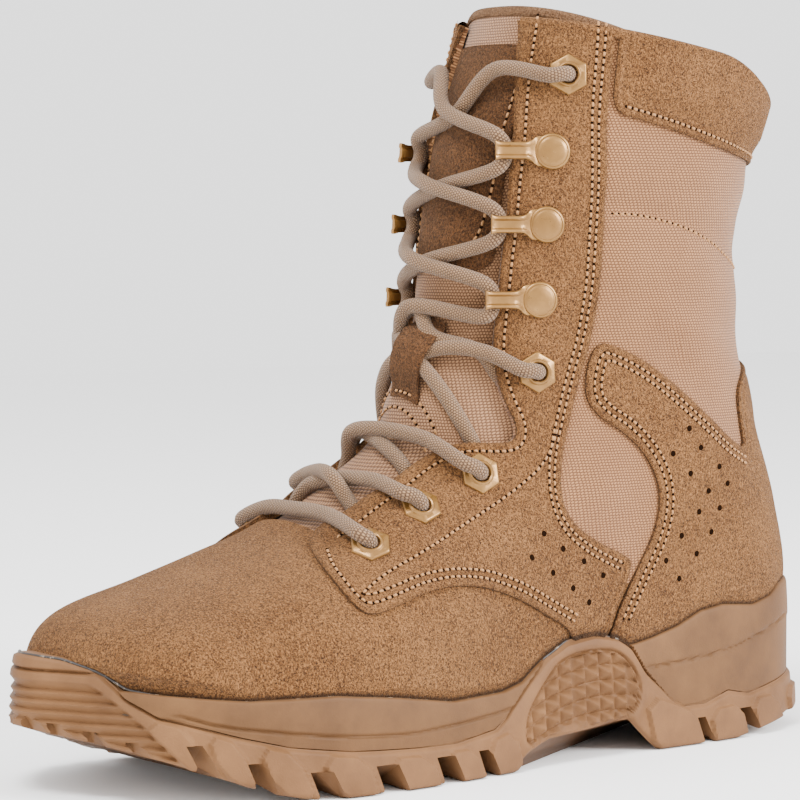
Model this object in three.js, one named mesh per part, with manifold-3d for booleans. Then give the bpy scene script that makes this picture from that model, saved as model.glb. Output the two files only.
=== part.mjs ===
// A laced combat boot, left foot, in millimetres.
// X runs across the boot with the outer (lateral) side at +X, the toe points to -Y, and Z is up.
// The origin is on the ground under the middle of the sole.

import * as THREE from 'three';
import { mergeVertices } from 'three/addons/utils/BufferGeometryUtils.js';
import Module from 'manifold-3d';

const wasm = await Module();
wasm.setup();

// Driving dimensions
const LENGTH = 312;
const BALL_WIDTH = 110;
const SHAFT_WIDTH = 92;
const INSTEP = 112;
const HEEL_SEAT = 36;
const COLLAR_FRONT = 250;
const COLLAR_BACK = 230;
const WALL = 2.2;
const OVERLAY = 1.2;
const CLEARANCE = 0.35;
const INSOLE_THICKNESS = 4;
const TONGUE_THICKNESS = 5;
const TONGUE_GAP = 0.8;
const TONGUE_TUCK = 11;
const PATCH_THICKNESS = 1;
const LACE_DIAMETER = 5.2;
const EYELET_ACROSS = 12.5;
const EYELET_BORE = 6.2;
const EYELET_THICKNESS = 1.4;
const FITTING_GAP = 0.6;
const HOOK_DISC = 12;
const HOOK_THICKNESS = 1.5;
const HOOK_REACH = 18;
const HOOK_WIDTH = 5.5;
const KEEPER_WIDTH = 13;
const KEEPER_HEIGHT = 21;
const KEEPER_THICKNESS = 1.2;
const KEEPER_SEAT = 1.2;
const SOLE_LEDGE = 3.4;
const LUG_HEIGHT = 9;
const TOE_TIP = 0.971;
const GROOVE = 1.1;
const GROOVE_REACH = 6;

// How far along the foot and how high a share lies
const along = (share) => LENGTH / 2 - LENGTH * share;
const rise = (share, first, last) => (share <= 1 ? share * first : first + (share - 1) * (last - first));
const up = (share) => rise(share, INSTEP, COLLAR_FRONT);

// Sections of the upper from the toe box to the collar. front and back are where a section meets the
// front ridge and the back or feather edge, as shares of the length; their heights are shares of the
// instep and heel seat up to 1 and of the shaft above that. Widths are shares of the ball.
// belly is the share of a section below its widest place, open how far its foot stays apart, and
// low and high are how square the curves below and above the widest place are.
const FOOT_SECTIONS = [
  // front, frontUp, back, backUp, lateral, medial, ridge, belly, open, low, high
  [0.827, 0.589, 0.827, 0.583, 0.418, -0.436, -0.082, 0.30, 3.0, 2.2, 2.5],
  [0.756, 0.652, 0.756, 0.556, 0.464, -0.455, -0.082, 0.28, 3.0, 2.2, 2.4],
  [0.686, 0.732, 0.667, 0.528, 0.482, -0.436, -0.073, 0.27, 3.0, 2.2, 2.2],
  [0.619, 0.866, 0.571, 0.528, 0.455, -0.391, -0.055, 0.27, 3.0, 2.2, 2.1],
  [0.561, 1.000, 0.465, 0.611, 0.409, -0.336, -0.036, 0.28, 3.0, 2.2, 2.0],
  [0.545, 1.123, 0.353, 0.750, 0.373, -0.314, -0.018, 0.30, 1.8, 2.2, 2.0],
  [0.519, 1.261, 0.224, 0.889, 0.355, -0.323, 0.000, 0.34, 0.7, 2.1, 2.1],
  [0.510, 1.384, 0.096, 1.000, 0.355, -0.345, 0.000, 0.40, 0.2, 2.1, 2.2],
];
// The same columns for the shaft, with widths as shares of the shaft's width.
// The last row is above the collar and shapes the top of the tongue.
const SHAFT_SECTIONS = [
  [0.500, 1.507, 0.016, 1.031, 0.435, -0.424, 0.000, 0.42, 0.0, 2.0, 2.3],
  [0.494, 1.565, 0.026, 1.186, 0.435, -0.435, 0.000, 0.45, 0.0, 2.0, 2.3],
  [0.484, 1.638, 0.064, 1.361, 0.435, -0.435, 0.000, 0.45, 0.0, 2.0, 2.3],
  [0.473, 1.732, 0.083, 1.536, 0.446, -0.446, 0.000, 0.45, 0.0, 2.0, 2.3],
  [0.455, 1.826, 0.087, 1.701, 0.457, -0.457, 0.000, 0.45, 0.0, 2.0, 2.3],
  [0.438, 1.913, 0.074, 1.856, 0.478, -0.478, 0.000, 0.45, 0.0, 2.1, 2.3],
  [0.423, 2.000, 0.058, 2.000, 0.500, -0.500, 0.000, 0.45, 0.0, 2.2, 2.3],
  [0.407, 2.087, 0.042, 2.072, 0.510, -0.510, 0.000, 0.45, 0.0, 2.2, 2.3],
];
const COLLAR = FOOT_SECTIONS.length + SHAFT_SECTIONS.length - 2;
const BELLY_TURN = 0.55;

// The sole's outline: along, lateral and medial edge as shares of the length and the ball width
const OUTLINE = [
  [0.000, 0.000, 0.000],
  [0.010, 0.127, -0.127],
  [0.032, 0.223, -0.223],
  [0.080, 0.309, -0.300],
  [0.160, 0.359, -0.345],
  [0.256, 0.382, -0.350],
  [0.353, 0.400, -0.335],
  [0.449, 0.427, -0.350],
  [0.545, 0.473, -0.405],
  [0.641, 0.509, -0.450],
  [0.721, 0.518, -0.477],
  [0.785, 0.495, -0.480],
  [0.833, 0.459, -0.468],
  [0.881, 0.407, -0.445],
  [0.913, 0.341, -0.416],
  [0.936, 0.268, -0.382],
  [0.962, 0.145, -0.316],
  [0.981, 0.036, -0.241],
  [1.000, -0.109, -0.109],
];

// Heights along the sole, each row a share of the length and a share of the heel seat height:
// tread is the lowest line, shell the outsole's visible top, block the midsole's underside,
// rim the edge where the sole meets the upper, and cushion the midsole's own top.
const TREAD = [
  [0, 0.25], [0.03, 0.18], [0.08, 0.11], [0.16, 0], [0.285, 0], [0.3, 0.1], [0.33, 0.33],
  [0.45, 0.25], [0.485, 0.15], [0.505, 0], [0.77, 0], [0.82, 0.08], [0.87, 0.24], [0.92, 0.39],
  [0.96, 0.5], [1, 0.6],
];
const RIM = [
  [0, 1.5], [0.064, 1.44], [0.087, 1.34], [0.122, 1.28], [0.176, 1.32], [0.212, 1.28],
  [0.25, 1.15], [0.288, 1.07], [0.321, 1.02], [0.34, 1.11], [0.375, 1.17], [0.417, 1.13],
  [0.449, 1], [0.484, 0.8], [0.513, 0.74], [0.59, 0.72], [0.667, 0.82], [0.744, 0.89],
  [0.84, 0.89], [0.923, 0.98], [0.949, 1.04], [0.962, 1.25], [0.981, 1.36], [1, 1.39],
];
const SHELL = [
  [0, 0.58], [0.032, 0.54], [0.09, 0.47], [0.135, 0.41], [0.17, 0.47], [0.208, 0.37],
  [0.244, 0.37], [0.263, 0.46], [0.282, 0.61], [0.304, 0.79], [0.321, 1.02], [0.34, 1.11],
  [0.375, 1.17], [0.417, 1.13], [0.449, 1], [0.484, 0.74], [0.501, 0.61], [0.513, 0.5],
  [0.53, 0.41], [0.59, 0.34], [0.644, 0.35], [0.73, 0.39], [0.8, 0.47], [0.85, 0.58],
  [0.885, 0.67], [0.923, 0.77], [0.945, 0.93], [0.962, 1.25], [0.981, 1.36], [1, 1.39],
];
const BLOCK = [
  [0, 0.58], [0.032, 0.54], [0.09, 0.47], [0.135, 0.41], [0.17, 0.47], [0.208, 0.37],
  [0.244, 0.37], [0.282, 0.5], [0.333, 0.5], [0.449, 0.42], [0.53, 0.39], [0.59, 0.34],
  [0.644, 0.35], [0.73, 0.39], [0.8, 0.47], [0.85, 0.58], [0.885, 0.67], [0.93, 0.78], [1, 0.86],
];
const CUSHION = [
  ...RIM.filter(([share]) => share < 0.93),
  [0.94, 0.98],
  [1, 0.98],
];
// How far the midsole stands in from the sole's outline, as shares of the ledge
const MIDSOLE_INSET = [
  [0, 0.5], [0.255, 0.5], [0.285, 1.1], [0.31, 1.35], [0.47, 1.35], [0.5, 1.1], [0.535, 0.5],
  [0.885, 0.5], [0.92, 1.1], [0.95, 2.4], [1, 3.4],
];

// Side views of the panels, as shares: along the length, and up to the instep and then the collar
const THROAT_EDGE = [
  [0.413, 2.014], [0.432, 1.851], [0.446, 1.681], [0.455, 1.507], [0.466, 1.312], [0.474, 1.196],
  [0.474, 1.123], [0.468, 1.058], [0.460, 1.011], [0.462, 0.973], [0.474, 0.958], [0.516, 0.964],
  [0.532, 0.955], [0.550, 0.925], [0.643, 0.780], [0.683, 0.714],
];
const QUARTER_FRONT = [
  [0.700, 0.688], [0.714, 0.634], [0.712, 0.562], [0.700, 0.509], [0.683, 0.500], [0.652, 0.522],
  [0.610, 0.556], [0.569, 0.562], [0.527, 0.546], [0.485, 0.502], [0.448, 0.448], [0.410, 0.395],
  [0.385, 0.250],
];
const QUARTER_REAR = [
  [0.362, 0.250], [0.359, 0.375], [0.315, 0.576], [0.330, 0.607], [0.362, 0.643], [0.397, 0.699],
  [0.413, 0.762], [0.415, 0.846], [0.406, 0.949], [0.397, 1.014], [0.383, 1.117], [0.368, 1.214],
  [0.359, 1.337], [0.355, 1.504], [0.354, 1.656], [0.353, 1.773], [0.348, 1.876], [0.340, 2.050],
  [0.413, 2.050],
];
const COUNTER = [
  [0.364, 1.214], [0.331, 1.193], [0.292, 1.149], [0.250, 1.084], [0.212, 1.019], [0.170, 0.939],
  [0.139, 0.904], [0.064, 0.875], [-0.038, 0.866], [-0.038, 0.179], [0.354, 0.179], [0.354, 0.375],
  [0.309, 0.565], [0.290, 0.640], [0.279, 0.720], [0.279, 0.812], [0.297, 0.908], [0.330, 0.987],
  [0.356, 1.017], [0.380, 1.080],
];
const CUFF = [
  [0.347, 1.774], [0.313, 1.755], [0.260, 1.725], [0.215, 1.696], [0.156, 1.669], [0.064, 1.645],
  [-0.038, 1.638], [-0.038, 2.100], [0.334, 2.100], [0.343, 1.876],
];
const TONGUE_FOOT = 0.727;
const PATCH = { foot: 1.36, head: 1.93 };
const KEEPER = { foot: 1.09, head: 1.25 };

// Rows of the lacing, from the toe up: along, up, and what carries the lace
const LACE_ROWS = [
  { along: 0.656, up: 0.677, kind: 'eyelet' },
  { along: 0.586, up: 0.781, kind: 'eyelet' },
  { along: 0.511, up: 0.870, kind: 'eyelet' },
  { along: 0.432, up: 1.136, kind: 'eyelet' },
  { along: 0.426, up: 1.314, kind: 'hook' },
  { along: 0.418, up: 1.497, kind: 'hook' },
  { along: 0.411, up: 1.675, kind: 'hook' },
  { along: 0.390, up: 1.863, kind: 'eyelet' },
];

// Side lugs: where each gap between two lugs lies along the sole, and its width
const LUG_GAPS = [
  { at: 0.136, width: 6 }, { at: 0.211, width: 5 },
  { at: 0.545, width: 4.5 }, { at: 0.602, width: 7 }, { at: 0.682, width: 8 },
  { at: 0.760, width: 7 }, { at: 0.829, width: 5 }, { at: 0.885, width: 5 },
];
// Stretches of the side that carry grooves, and how high up the outsole's wall they lie, as shares
const FOREPART = [0.51, 0.9];
const HEEL_BLOCK = [0.06, 0.3];
const BUMPER = [0.93, 1];
const ARCH = [0.3, 0.49];
const TOE_RIBS = [0.42, 0.62, 0.82];
const ARCH_LINE = 0.8;
const GAP_SLANT = 0.45;
const GAP_REACH = 24;

const suede = new THREE.MeshStandardMaterial({ color: 0xb8875a, roughness: 0.95, metalness: 0 });
const nylon = new THREE.MeshStandardMaterial({ color: 0xc49a74, roughness: 0.9, metalness: 0 });
const darkSuede = new THREE.MeshStandardMaterial({ color: 0x8c5f3e, roughness: 0.95, metalness: 0 });
const rubber = new THREE.MeshStandardMaterial({ color: 0xa58264, roughness: 0.75, metalness: 0 });
const foam = new THREE.MeshStandardMaterial({ color: 0xa98668, roughness: 0.8, metalness: 0 });
const sock = new THREE.MeshStandardMaterial({ color: 0x8f7355, roughness: 0.95, metalness: 0 });
const cord = new THREE.MeshStandardMaterial({ color: 0xb29678, roughness: 0.85, metalness: 0 });
const paint = new THREE.MeshStandardMaterial({ color: 0xa57d46, roughness: 0.4, metalness: 0.5 });

// Solids and how they are joined and cut
function solidOf(geometry) {
  const bare = geometry.index ? geometry.toNonIndexed() : geometry.clone();
  bare.deleteAttribute('normal');
  bare.deleteAttribute('uv');
  const merged = mergeVertices(bare, 1e-4);
  const index = merged.index.array;
  const kept = [];
  for (let i = 0; i < index.length; i += 3) {
    const [a, b, c] = [index[i], index[i + 1], index[i + 2]];
    if (a !== b && b !== c && c !== a) kept.push(a, b, c);
  }
  return new wasm.Manifold(new wasm.Mesh({
    numProp: 3,
    vertProperties: new Float32Array(merged.attributes.position.array),
    triVerts: new Uint32Array(kept),
  }));
}

// The largest body of a cut solid, without the slivers that a cut can leave beside it
function mainBody(solid) {
  return solid.decompose().reduce((best, body) => (body.volume() > best.volume() ? body : best));
}

function geometryOf(solid) {
  const mesh = solid.getMesh();
  const geometry = new THREE.BufferGeometry();
  geometry.setAttribute('position', new THREE.BufferAttribute(new Float32Array(mesh.vertProperties), 3));
  geometry.setIndex(new THREE.BufferAttribute(new Uint32Array(mesh.triVerts), 1));
  geometry.computeVertexNormals();
  return geometry;
}

// A closed body through rings of equal point counts, capped by strips across its first and last ring
function loft(rings) {
  const count = rings[0].length;
  const points = rings.flat();
  const index = [];
  for (let r = 0; r + 1 < rings.length; r += 1) {
    for (let i = 0; i < count; i += 1) {
      const j = (i + 1) % count;
      const [a, b, c, d] = [r * count + i, r * count + j, (r + 1) * count + j, (r + 1) * count + i];
      index.push(a, b, c, a, c, d);
    }
  }
  const last = (rings.length - 1) * count;
  for (let i = 0, j = count - 1; j - i > 1; i += 1, j -= 1) {
    index.push(i, j, i + 1, j, j - 1, i + 1);
    index.push(last + i, last + i + 1, last + j, last + j, last + i + 1, last + j - 1);
  }
  const geometry = new THREE.BufferGeometry();
  geometry.setAttribute('position', new THREE.Float32BufferAttribute(points.flat(), 3));
  geometry.setIndex(index);
  const solid = solidOf(geometry);
  return solid.volume() > 0 ? solid : solidOf(turned(geometry));
}

function turned(geometry) {
  const index = geometry.index.array;
  for (let i = 0; i < index.length; i += 3) [index[i], index[i + 1]] = [index[i + 1], index[i]];
  return geometry;
}

// A side-view outline of [along, up] shares, extruded across the boot from x0 to x1
function sidePrism(outline, x0, x1) {
  const shape = new THREE.Shape(outline.map(([a, h]) => new THREE.Vector2(along(a), up(h))));
  const geometry = new THREE.ExtrudeGeometry(shape, { depth: x1 - x0, bevelEnabled: false });
  const yzx = new THREE.Matrix4().set(0, 0, 1, x0, 1, 0, 0, 0, 0, 1, 0, 0, 0, 0, 0, 1);
  geometry.applyMatrix4(yzx);
  return solidOf(geometry);
}

// The upper's form
const sections = [
  ...FOOT_SECTIONS.map((row) => sectionInMillimetres(row, BALL_WIDTH)),
  ...SHAFT_SECTIONS.map((row) => sectionInMillimetres(row, SHAFT_WIDTH)),
];

function sectionInMillimetres(row, width) {
  const [front, frontUp, back, backUp, lateral, medial, ridge, belly, open, low, high] = row;
  return [
    LENGTH * front, up(frontUp), LENGTH * back, rise(backUp, HEEL_SEAT, COLLAR_BACK),
    width * lateral, width * medial, width * ridge, belly, open, low, high,
  ];
}

// A smooth row between the rows of a table, by a uniform Catmull-Rom spline
function between(rows, t) {
  const i = Math.min(Math.max(Math.floor(t), 0), rows.length - 2);
  const f = t - i;
  const [p1, p2] = [rows[i], rows[i + 1]];
  const p0 = rows[i - 1] ?? p1.map((value, k) => 2 * value - p2[k]);
  const p3 = rows[i + 2] ?? p2.map((value, k) => 2 * value - p1[k]);
  return p1.map((value, k) => 0.5 * (2 * value + (p2[k] - p0[k]) * f
    + (2 * p0[k] - 5 * value + 4 * p2[k] - p3[k]) * f * f
    + (3 * value - p0[k] - 3 * p2[k] + p3[k]) * f * f * f));
}

const TOE_SIDE = 2.2;
const TOE_TOP = 3.2;
const TOE_CENTRE = -0.109 * BALL_WIDTH;
const TOE_FLATTEN = 0.7;
const TOE_LIFT = 5;

// Stations below 0 close the toe: -t goes from the first section to the tip
function stationRow(station) {
  if (station >= 0) return between(sections, station);
  const t = -station;
  const row = [...sections[0]];
  const [start, next] = sections;
  const place = start[0] + (LENGTH * TOE_TIP - start[0]) * t;
  const slope = (next[1] - start[1]) / (next[0] - start[0]);
  const top = start[1] + slope * (place - start[0]) * (1 - TOE_FLATTEN * t);
  const side = (1 - t ** TOE_SIDE) ** (1 / TOE_SIDE);
  const height = (1 - t ** TOE_TOP) ** (1 / TOE_TOP);
  const centre = start[6] + (TOE_CENTRE - start[6]) * t;
  const floor = start[3] + TOE_LIFT * t * t;
  row[0] = place;
  row[2] = place;
  row[1] = floor + (top - floor) * height;
  row[3] = floor;
  row[4] = centre + (start[4] - centre) * side;
  row[5] = centre + (start[5] - centre) * side;
  row[6] = centre;
  return row;
}

// u runs from -1 on the medial foot or back, over the front ridge at 0, to 1 on the lateral side
function formPoint(station, u) {
  const [front, frontZ, back, backZ, lateral, medial, ridge, belly, open, low, high] = stationRow(station);
  const t = Math.abs(u);
  const width = u >= 0 ? lateral : medial;
  let x;
  let tau;
  if (t <= BELLY_TURN) {
    const angle = (t / BELLY_TURN) * (Math.PI / 2);
    x = ridge + (width - ridge) * Math.sin(angle) ** (2 / high);
    tau = belly + (1 - belly) * Math.max(Math.cos(angle), 0) ** (2 / high);
  } else {
    const spread = belly / (belly + Math.max(open, 0));
    const angle = ((t - BELLY_TURN) / (1 - BELLY_TURN)) * Math.asin(Math.min(1, spread ** (low / 2)));
    x = width * Math.max(Math.cos(angle), 0) ** (2 / low);
    if (open <= 0 && t >= 1) x = 0;
    tau = belly - (belly / spread) * Math.sin(angle) ** (2 / low);
  }
  return new THREE.Vector3(x - SOLE_MIDDLE, LENGTH / 2 - (back + (front - back) * tau),
    backZ + (frontZ - backZ) * tau);
}

function formNormal(station, u) {
  const [du, dv] = [0.01, 0.02];
  const low = Math.max(-0.999, station - dv);
  const across = formPoint(station, Math.min(1, u + du)).sub(formPoint(station, Math.max(-1, u - du)));
  const forward = formPoint(station + dv, u).sub(formPoint(low, u));
  const normal = across.cross(forward).normalize();
  const core = formPoint(station, 0).add(formPoint(station, 1)).multiplyScalar(0.5);
  return normal.dot(formPoint(station, u).sub(core)) < 0 ? normal.negate() : normal;
}

const offsetPoint = (station, u, offset) => formPoint(station, u).addScaledVector(formNormal(station, u), offset);

const GIRTH = Array.from({ length: 21 }, (_, i) => i / 10 - 1);
const TOE_STATIONS = [-0.995, -0.95, -0.81, -0.59, -0.31];
const FOOT_STATIONS = [0, 0.5, 1, 1.5, 2, 2.5, 3, 3.5, 4, 4.5, 5, 5.5, 6, 7, 8, 9];
const SHAFT_STATIONS = [10, 11, 12, 13, COLLAR];

// The filled form, offset outwards, with its foot carried down by drop and its top up by lift
function filledForm(offset, { drop = 0, lift = 0, head = [] } = {}) {
  const stations = [...TOE_STATIONS, ...FOOT_STATIONS, ...SHAFT_STATIONS, ...head];
  const rings = stations.map((station) => {
    const ring = GIRTH.map((u) => offsetPoint(station, u, offset));
    if (drop > 0) {
      const row = stationRow(station);
      const down = new THREE.Vector3(0, row[0] - row[2], row[3] - row[1]).normalize();
      const fall = drop * Math.min(1, Math.max(0, row[8]));
      ring.push(ring.at(-1).clone().addScaledVector(down, fall));
      ring.unshift(ring[0].clone().addScaledVector(down, fall));
    }
    return ring;
  });
  for (const point of rings[0]) point.y -= offset;
  if (lift > 0) rings.push(rings.at(-1).map((point) => point.clone().add(new THREE.Vector3(0, 0, lift))));
  return loft(rings.map((ring) => ring.map((point) => point.toArray())));
}

// The station and girth of a place that the side view gives, on the lateral (1) or medial (-1) side
function placeOnForm(alongShare, upShare, side) {
  const target = new THREE.Vector2(along(alongShare), up(upShare));
  let [station, u] = [5, 0.35];
  const miss = (s, g) => {
    const point = formPoint(s, g * side);
    return new THREE.Vector2(point.y, point.z).sub(target);
  };
  const step = 0.002;
  for (let round = 0; round < 60; round += 1) {
    const here = miss(station, u);
    const bySection = miss(station + step, u).sub(here).divideScalar(step);
    const byGirth = miss(station, u + step).sub(here).divideScalar(step);
    const area = bySection.x * byGirth.y - bySection.y * byGirth.x;
    station -= 0.5 * (here.x * byGirth.y - here.y * byGirth.x) / area;
    u -= 0.5 * (bySection.x * here.y - bySection.y * here.x) / area;
    station = Math.min(Math.max(station, 0.2), COLLAR);
    u = Math.min(Math.max(u, 0.08), BELLY_TURN);
  }
  return { station, u: u * side };
}

// The sole's form
const SOLE_STATIONS = [
  0, 0.004, 0.012, 0.03, 0.06, 0.09, 0.122, 0.16, 0.19, 0.212, 0.244, 0.263, 0.282, 0.302, 0.321,
  0.34, 0.375, 0.417, 0.449, 0.467, 0.484, 0.501, 0.52, 0.55, 0.59, 0.64, 0.69, 0.74, 0.78, 0.82,
  0.85, 0.885, 0.91, 0.932, 0.949, 0.962, 0.975, 0.986, 0.995, 1,
];
const SOLE_MIDDLE = BALL_WIDTH * (0.518 - 0.480) / 2;

// Ends of the outline are round, so it is read over an angle that is even there
const roundAngle = (share) => Math.acos(1 - 2 * share);

function readTable(rows, share, column, angle = (value) => value) {
  const i = Math.min(Math.max(rows.findIndex((row) => row[0] > share) - 1, 0), rows.length - 2);
  const k = share >= rows.at(-1)[0] ? rows.length - 2 : i;
  const [x0, x1] = [angle(rows[k][0]), angle(rows[k + 1][0])];
  const t = Math.min(1, Math.max(0, (angle(share) - x0) / (x1 - x0)));
  const slopeAt = (j) => {
    const [before, after] = [rows[Math.max(j - 1, 0)], rows[Math.min(j + 1, rows.length - 1)]];
    return (after[column] - before[column]) / (angle(after[0]) - angle(before[0]));
  };
  const [y0, y1] = [rows[k][column], rows[k + 1][column]];
  const [m0, m1] = [slopeAt(k) * (x1 - x0), slopeAt(k + 1) * (x1 - x0)];
  return (2 * t ** 3 - 3 * t ** 2 + 1) * y0 + (t ** 3 - 2 * t ** 2 + t) * m0
    + (3 * t ** 2 - 2 * t ** 3) * y1 + (t ** 3 - t ** 2) * m1;
}

function straight(rows, share) {
  const k = Math.min(Math.max(rows.findIndex((row) => row[0] > share), 1), rows.length - 1);
  const j = share >= rows.at(-1)[0] ? rows.length - 1 : k;
  const [[x0, y0], [x1, y1]] = [rows[j - 1], rows[j]];
  return y0 + (y1 - y0) * Math.min(1, Math.max(0, (share - x0) / (x1 - x0)));
}

const soleHeight = (rows, share) => HEEL_SEAT * straight(rows, share);

// Points round the sole from the heel along the lateral side to the toe and back
const soleEdge = [
  ...SOLE_STATIONS.map((share) => ({ share, column: 1 })),
  ...SOLE_STATIONS.slice(1, -1).reverse().map((share) => ({ share, column: 2 })),
].map(({ share, column }) => ({
  share,
  column,
  x: BALL_WIDTH * readTable(OUTLINE, share, column, roundAngle) - SOLE_MIDDLE,
  y: along(share),
}));
soleEdge.forEach((point, i) => {
  const before = soleEdge.at(i - 1);
  const after = soleEdge[(i + 1) % soleEdge.length];
  const [dx, dy] = [after.x - before.x, after.y - before.y];
  const size = Math.hypot(dx, dy);
  point.out = [-dy / size, dx / size];
});

// One closed line round the sole, set in from the outline
function soleLine(inset, height) {
  const line = soleEdge.map(({ share, x, y, out }) => {
    const depth = inset(share);
    return [x - out[0] * depth, y - out[1] * depth, height(share)];
  });
  return line;
}

// A sole body between lines; its caps join the two sides at each station, so the ring starts mid-heel
function soleLoft(lines) {
  const rings = lines.map(({ inset, height }) => soleLine(inset, height));
  const count = rings[0].length;
  const half = SOLE_STATIONS.length - 1;
  const points = rings.flat();
  const index = [];
  for (let r = 0; r + 1 < rings.length; r += 1) {
    for (let i = 0; i < count; i += 1) {
      const j = (i + 1) % count;
      const [a, b, c, d] = [r * count + i, r * count + j, (r + 1) * count + j, (r + 1) * count + i];
      index.push(a, b, c, a, c, d);
    }
  }
  const last = (rings.length - 1) * count;
  for (let i = 0; i < half; i += 1) {
    const [a, b] = [i, i + 1];
    const [c, d] = [(count - i) % count, count - i - 1];
    index.push(a, d, b, a, c, d);
    index.push(last + a, last + b, last + d, last + a, last + d, last + c);
  }
  const geometry = new THREE.BufferGeometry();
  geometry.setAttribute('position', new THREE.Float32BufferAttribute(points.flat(), 3));
  geometry.setIndex(index);
  const solid = solidOf(geometry);
  return solid.volume() > 0 ? solid : solidOf(turned(geometry));
}

const flush = (amount) => () => amount;

function midsoleBody(grow) {
  const inset = (share) => SOLE_LEDGE * straight(MIDSOLE_INSET, share) - grow;
  const lean = (share) => Math.max(inset(share), SOLE_LEDGE - grow);
  return soleLoft([
    { inset, height: (share) => soleHeight(BLOCK, share) + CLEARANCE - grow },
    { inset, height: (share) => (soleHeight(BLOCK, share) + soleHeight(CUSHION, share)) / 2 },
    { inset: lean, height: (share) => soleHeight(CUSHION, share) + grow },
  ]);
}

const soleTop = (share) => Math.max(soleHeight(SHELL, share), soleHeight(TREAD, share) + LUG_HEIGHT);

// How far the outsole's top edge leans in: little beside the midsole, to the full ledge at the rim
const shellLean = (share) => {
  const rimShare = soleTop(share) / soleHeight(RIM, share);
  return SOLE_LEDGE * Math.min(1, 0.3 + 0.7 * Math.max(0, rimShare - 0.5) * 2);
};

function outsoleBody() {
  return soleLoft([
    { inset: flush(2.2), height: (share) => soleHeight(TREAD, share) },
    { inset: flush(0), height: (share) => soleHeight(TREAD, share) + 2.5 },
    { inset: (share) => shellLean(share) * 0.4, height: (share) => (soleHeight(TREAD, share) + soleTop(share)) / 2 },
    { inset: shellLean, height: soleTop },
  ]);
}

// A stretch of the sole's edge between two shares of its length, on one side or round the toe
const edgePart = (from, to, column) => soleEdge.filter((point) => (
  point.share >= from && point.share <= to && (column === undefined || point.column === column)
));

// A thin ring along part of the sole's edge, for a groove at a given height
function sideGroove(part, inset, height) {
  return loft(part.map(({ share, x, y, out }) => {
    const place = (depth, z) => [x - out[0] * depth, y - out[1] * depth, z];
    const [deep, low] = [inset(share) + GROOVE, height(share)];
    return [
      place(deep, low), place(deep, low + GROOVE), place(-GROOVE_REACH, low + GROOVE), place(-GROOVE_REACH, low),
    ];
  }));
}

// A slanted gap between two side lugs, open to one side of the sole
function lugGap({ at, width }, side) {
  const edge = BALL_WIDTH * readTable(OUTLINE, at, side > 0 ? 1 : 2, roundAngle) - SOLE_MIDDLE;
  const low = soleHeight(TREAD, at) - 2;
  const high = soleHeight(TREAD, at) + LUG_HEIGHT;
  const lean = GAP_SLANT * (high - low);
  const [x0, x1] = [Math.min(edge + side * 8, edge - side * GAP_REACH), Math.max(edge + side * 8, edge - side * GAP_REACH)];
  const y = along(at);
  const section = [[y - width / 2 + lean, low], [y + width / 2 + lean, low], [y + width / 2 - lean, high],
    [y - width / 2 - lean, high]];
  return loft([x0, x1].map((x) => section.map(([yy, z]) => [x, yy, z])));
}

const pocket = filledForm(CLEARANCE, { drop: CLEARANCE });

function makeMidsole() {
  const inset = (share) => SOLE_LEDGE * straight(MIDSOLE_INSET, share);
  let body = midsoleBody(0).subtract(pocket);
  for (const column of [1, 2]) {
    const forepart = sideGroove(edgePart(...FOREPART, column), inset, (share) => soleHeight(BLOCK, share) + 3.2 * GROOVE);
    const heel = sideGroove(edgePart(...HEEL_BLOCK, column), inset,
      (share) => 0.45 * soleHeight(BLOCK, share) + 0.5 * soleHeight(RIM, share));
    body = body.subtract(forepart).subtract(heel);
  }
  return mainBody(body);
}

// Ribs round the toe bumper, and a line that frames the arch
function outsoleGrooves() {
  const wall = (part) => (share) => shellLean(share) * part;
  const heightAt = (part) => (share) => soleHeight(TREAD, share) + (soleTop(share) - soleHeight(TREAD, share)) * part;
  const toe = TOE_RIBS.map((part) => sideGroove(edgePart(...BUMPER), wall(part * part), heightAt(part)));
  const arch = [1, 2].map((column) => sideGroove(edgePart(...ARCH, column), wall(ARCH_LINE ** 2), heightAt(ARCH_LINE)));
  return [...toe, ...arch];
}

function makeOutsole() {
  let body = outsoleBody().subtract(midsoleBody(CLEARANCE)).subtract(pocket);
  for (const side of [1, -1]) {
    for (const gap of LUG_GAPS) body = body.subtract(lugGap(gap, side));
  }
  for (const groove of outsoleGrooves()) body = body.subtract(groove);
  return mainBody(body);
}

function makeUpper(throat) {
  const inside = filledForm(-WALL, { drop: 9, lift: 12 });
  return filledForm(0).subtract(inside).subtract(throat);
}

// What lies in front of the throat's edge, seen from the side
function throatPrism(shift, x0, x1) {
  const edge = THROAT_EDGE.map(([a, h]) => [a - shift / LENGTH, h]);
  const [top, foot] = [edge[0], edge.at(-1)];
  return sidePrism([[top[0] - 0.01, 2.2], ...edge, [foot[0], foot[1] + 0.3], [0.9, 1.2], [0.9, 2.2]], x0, x1);
}

function makeOverlay(outline, x0, x1, soleKeepOut) {
  const skin = filledForm(CLEARANCE + OVERLAY).subtract(filledForm(CLEARANCE, { drop: 9, lift: 12 }));
  return mainBody(skin.intersect(sidePrism(outline, x0, x1)).subtract(soleKeepOut));
}

const QUARTER = [...THROAT_EDGE, ...QUARTER_FRONT, ...QUARTER_REAR];

function makeInsole() {
  const path = [...TOE_STATIONS, ...FOOT_STATIONS.filter((station) => station < 8)];
  const slab = loft(path.map((station) => {
    const row = stationRow(station);
    const [y, z] = [LENGTH / 2 - row[2], row[3] + CLEARANCE];
    return [[BALL_WIDTH, y, z], [-BALL_WIDTH, y, z], [-BALL_WIDTH, y, z + INSOLE_THICKNESS],
      [BALL_WIDTH, y, z + INSOLE_THICKNESS]];
  }));
  return slab.intersect(filledForm(-WALL - CLEARANCE, { drop: 9 }));
}

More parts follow.
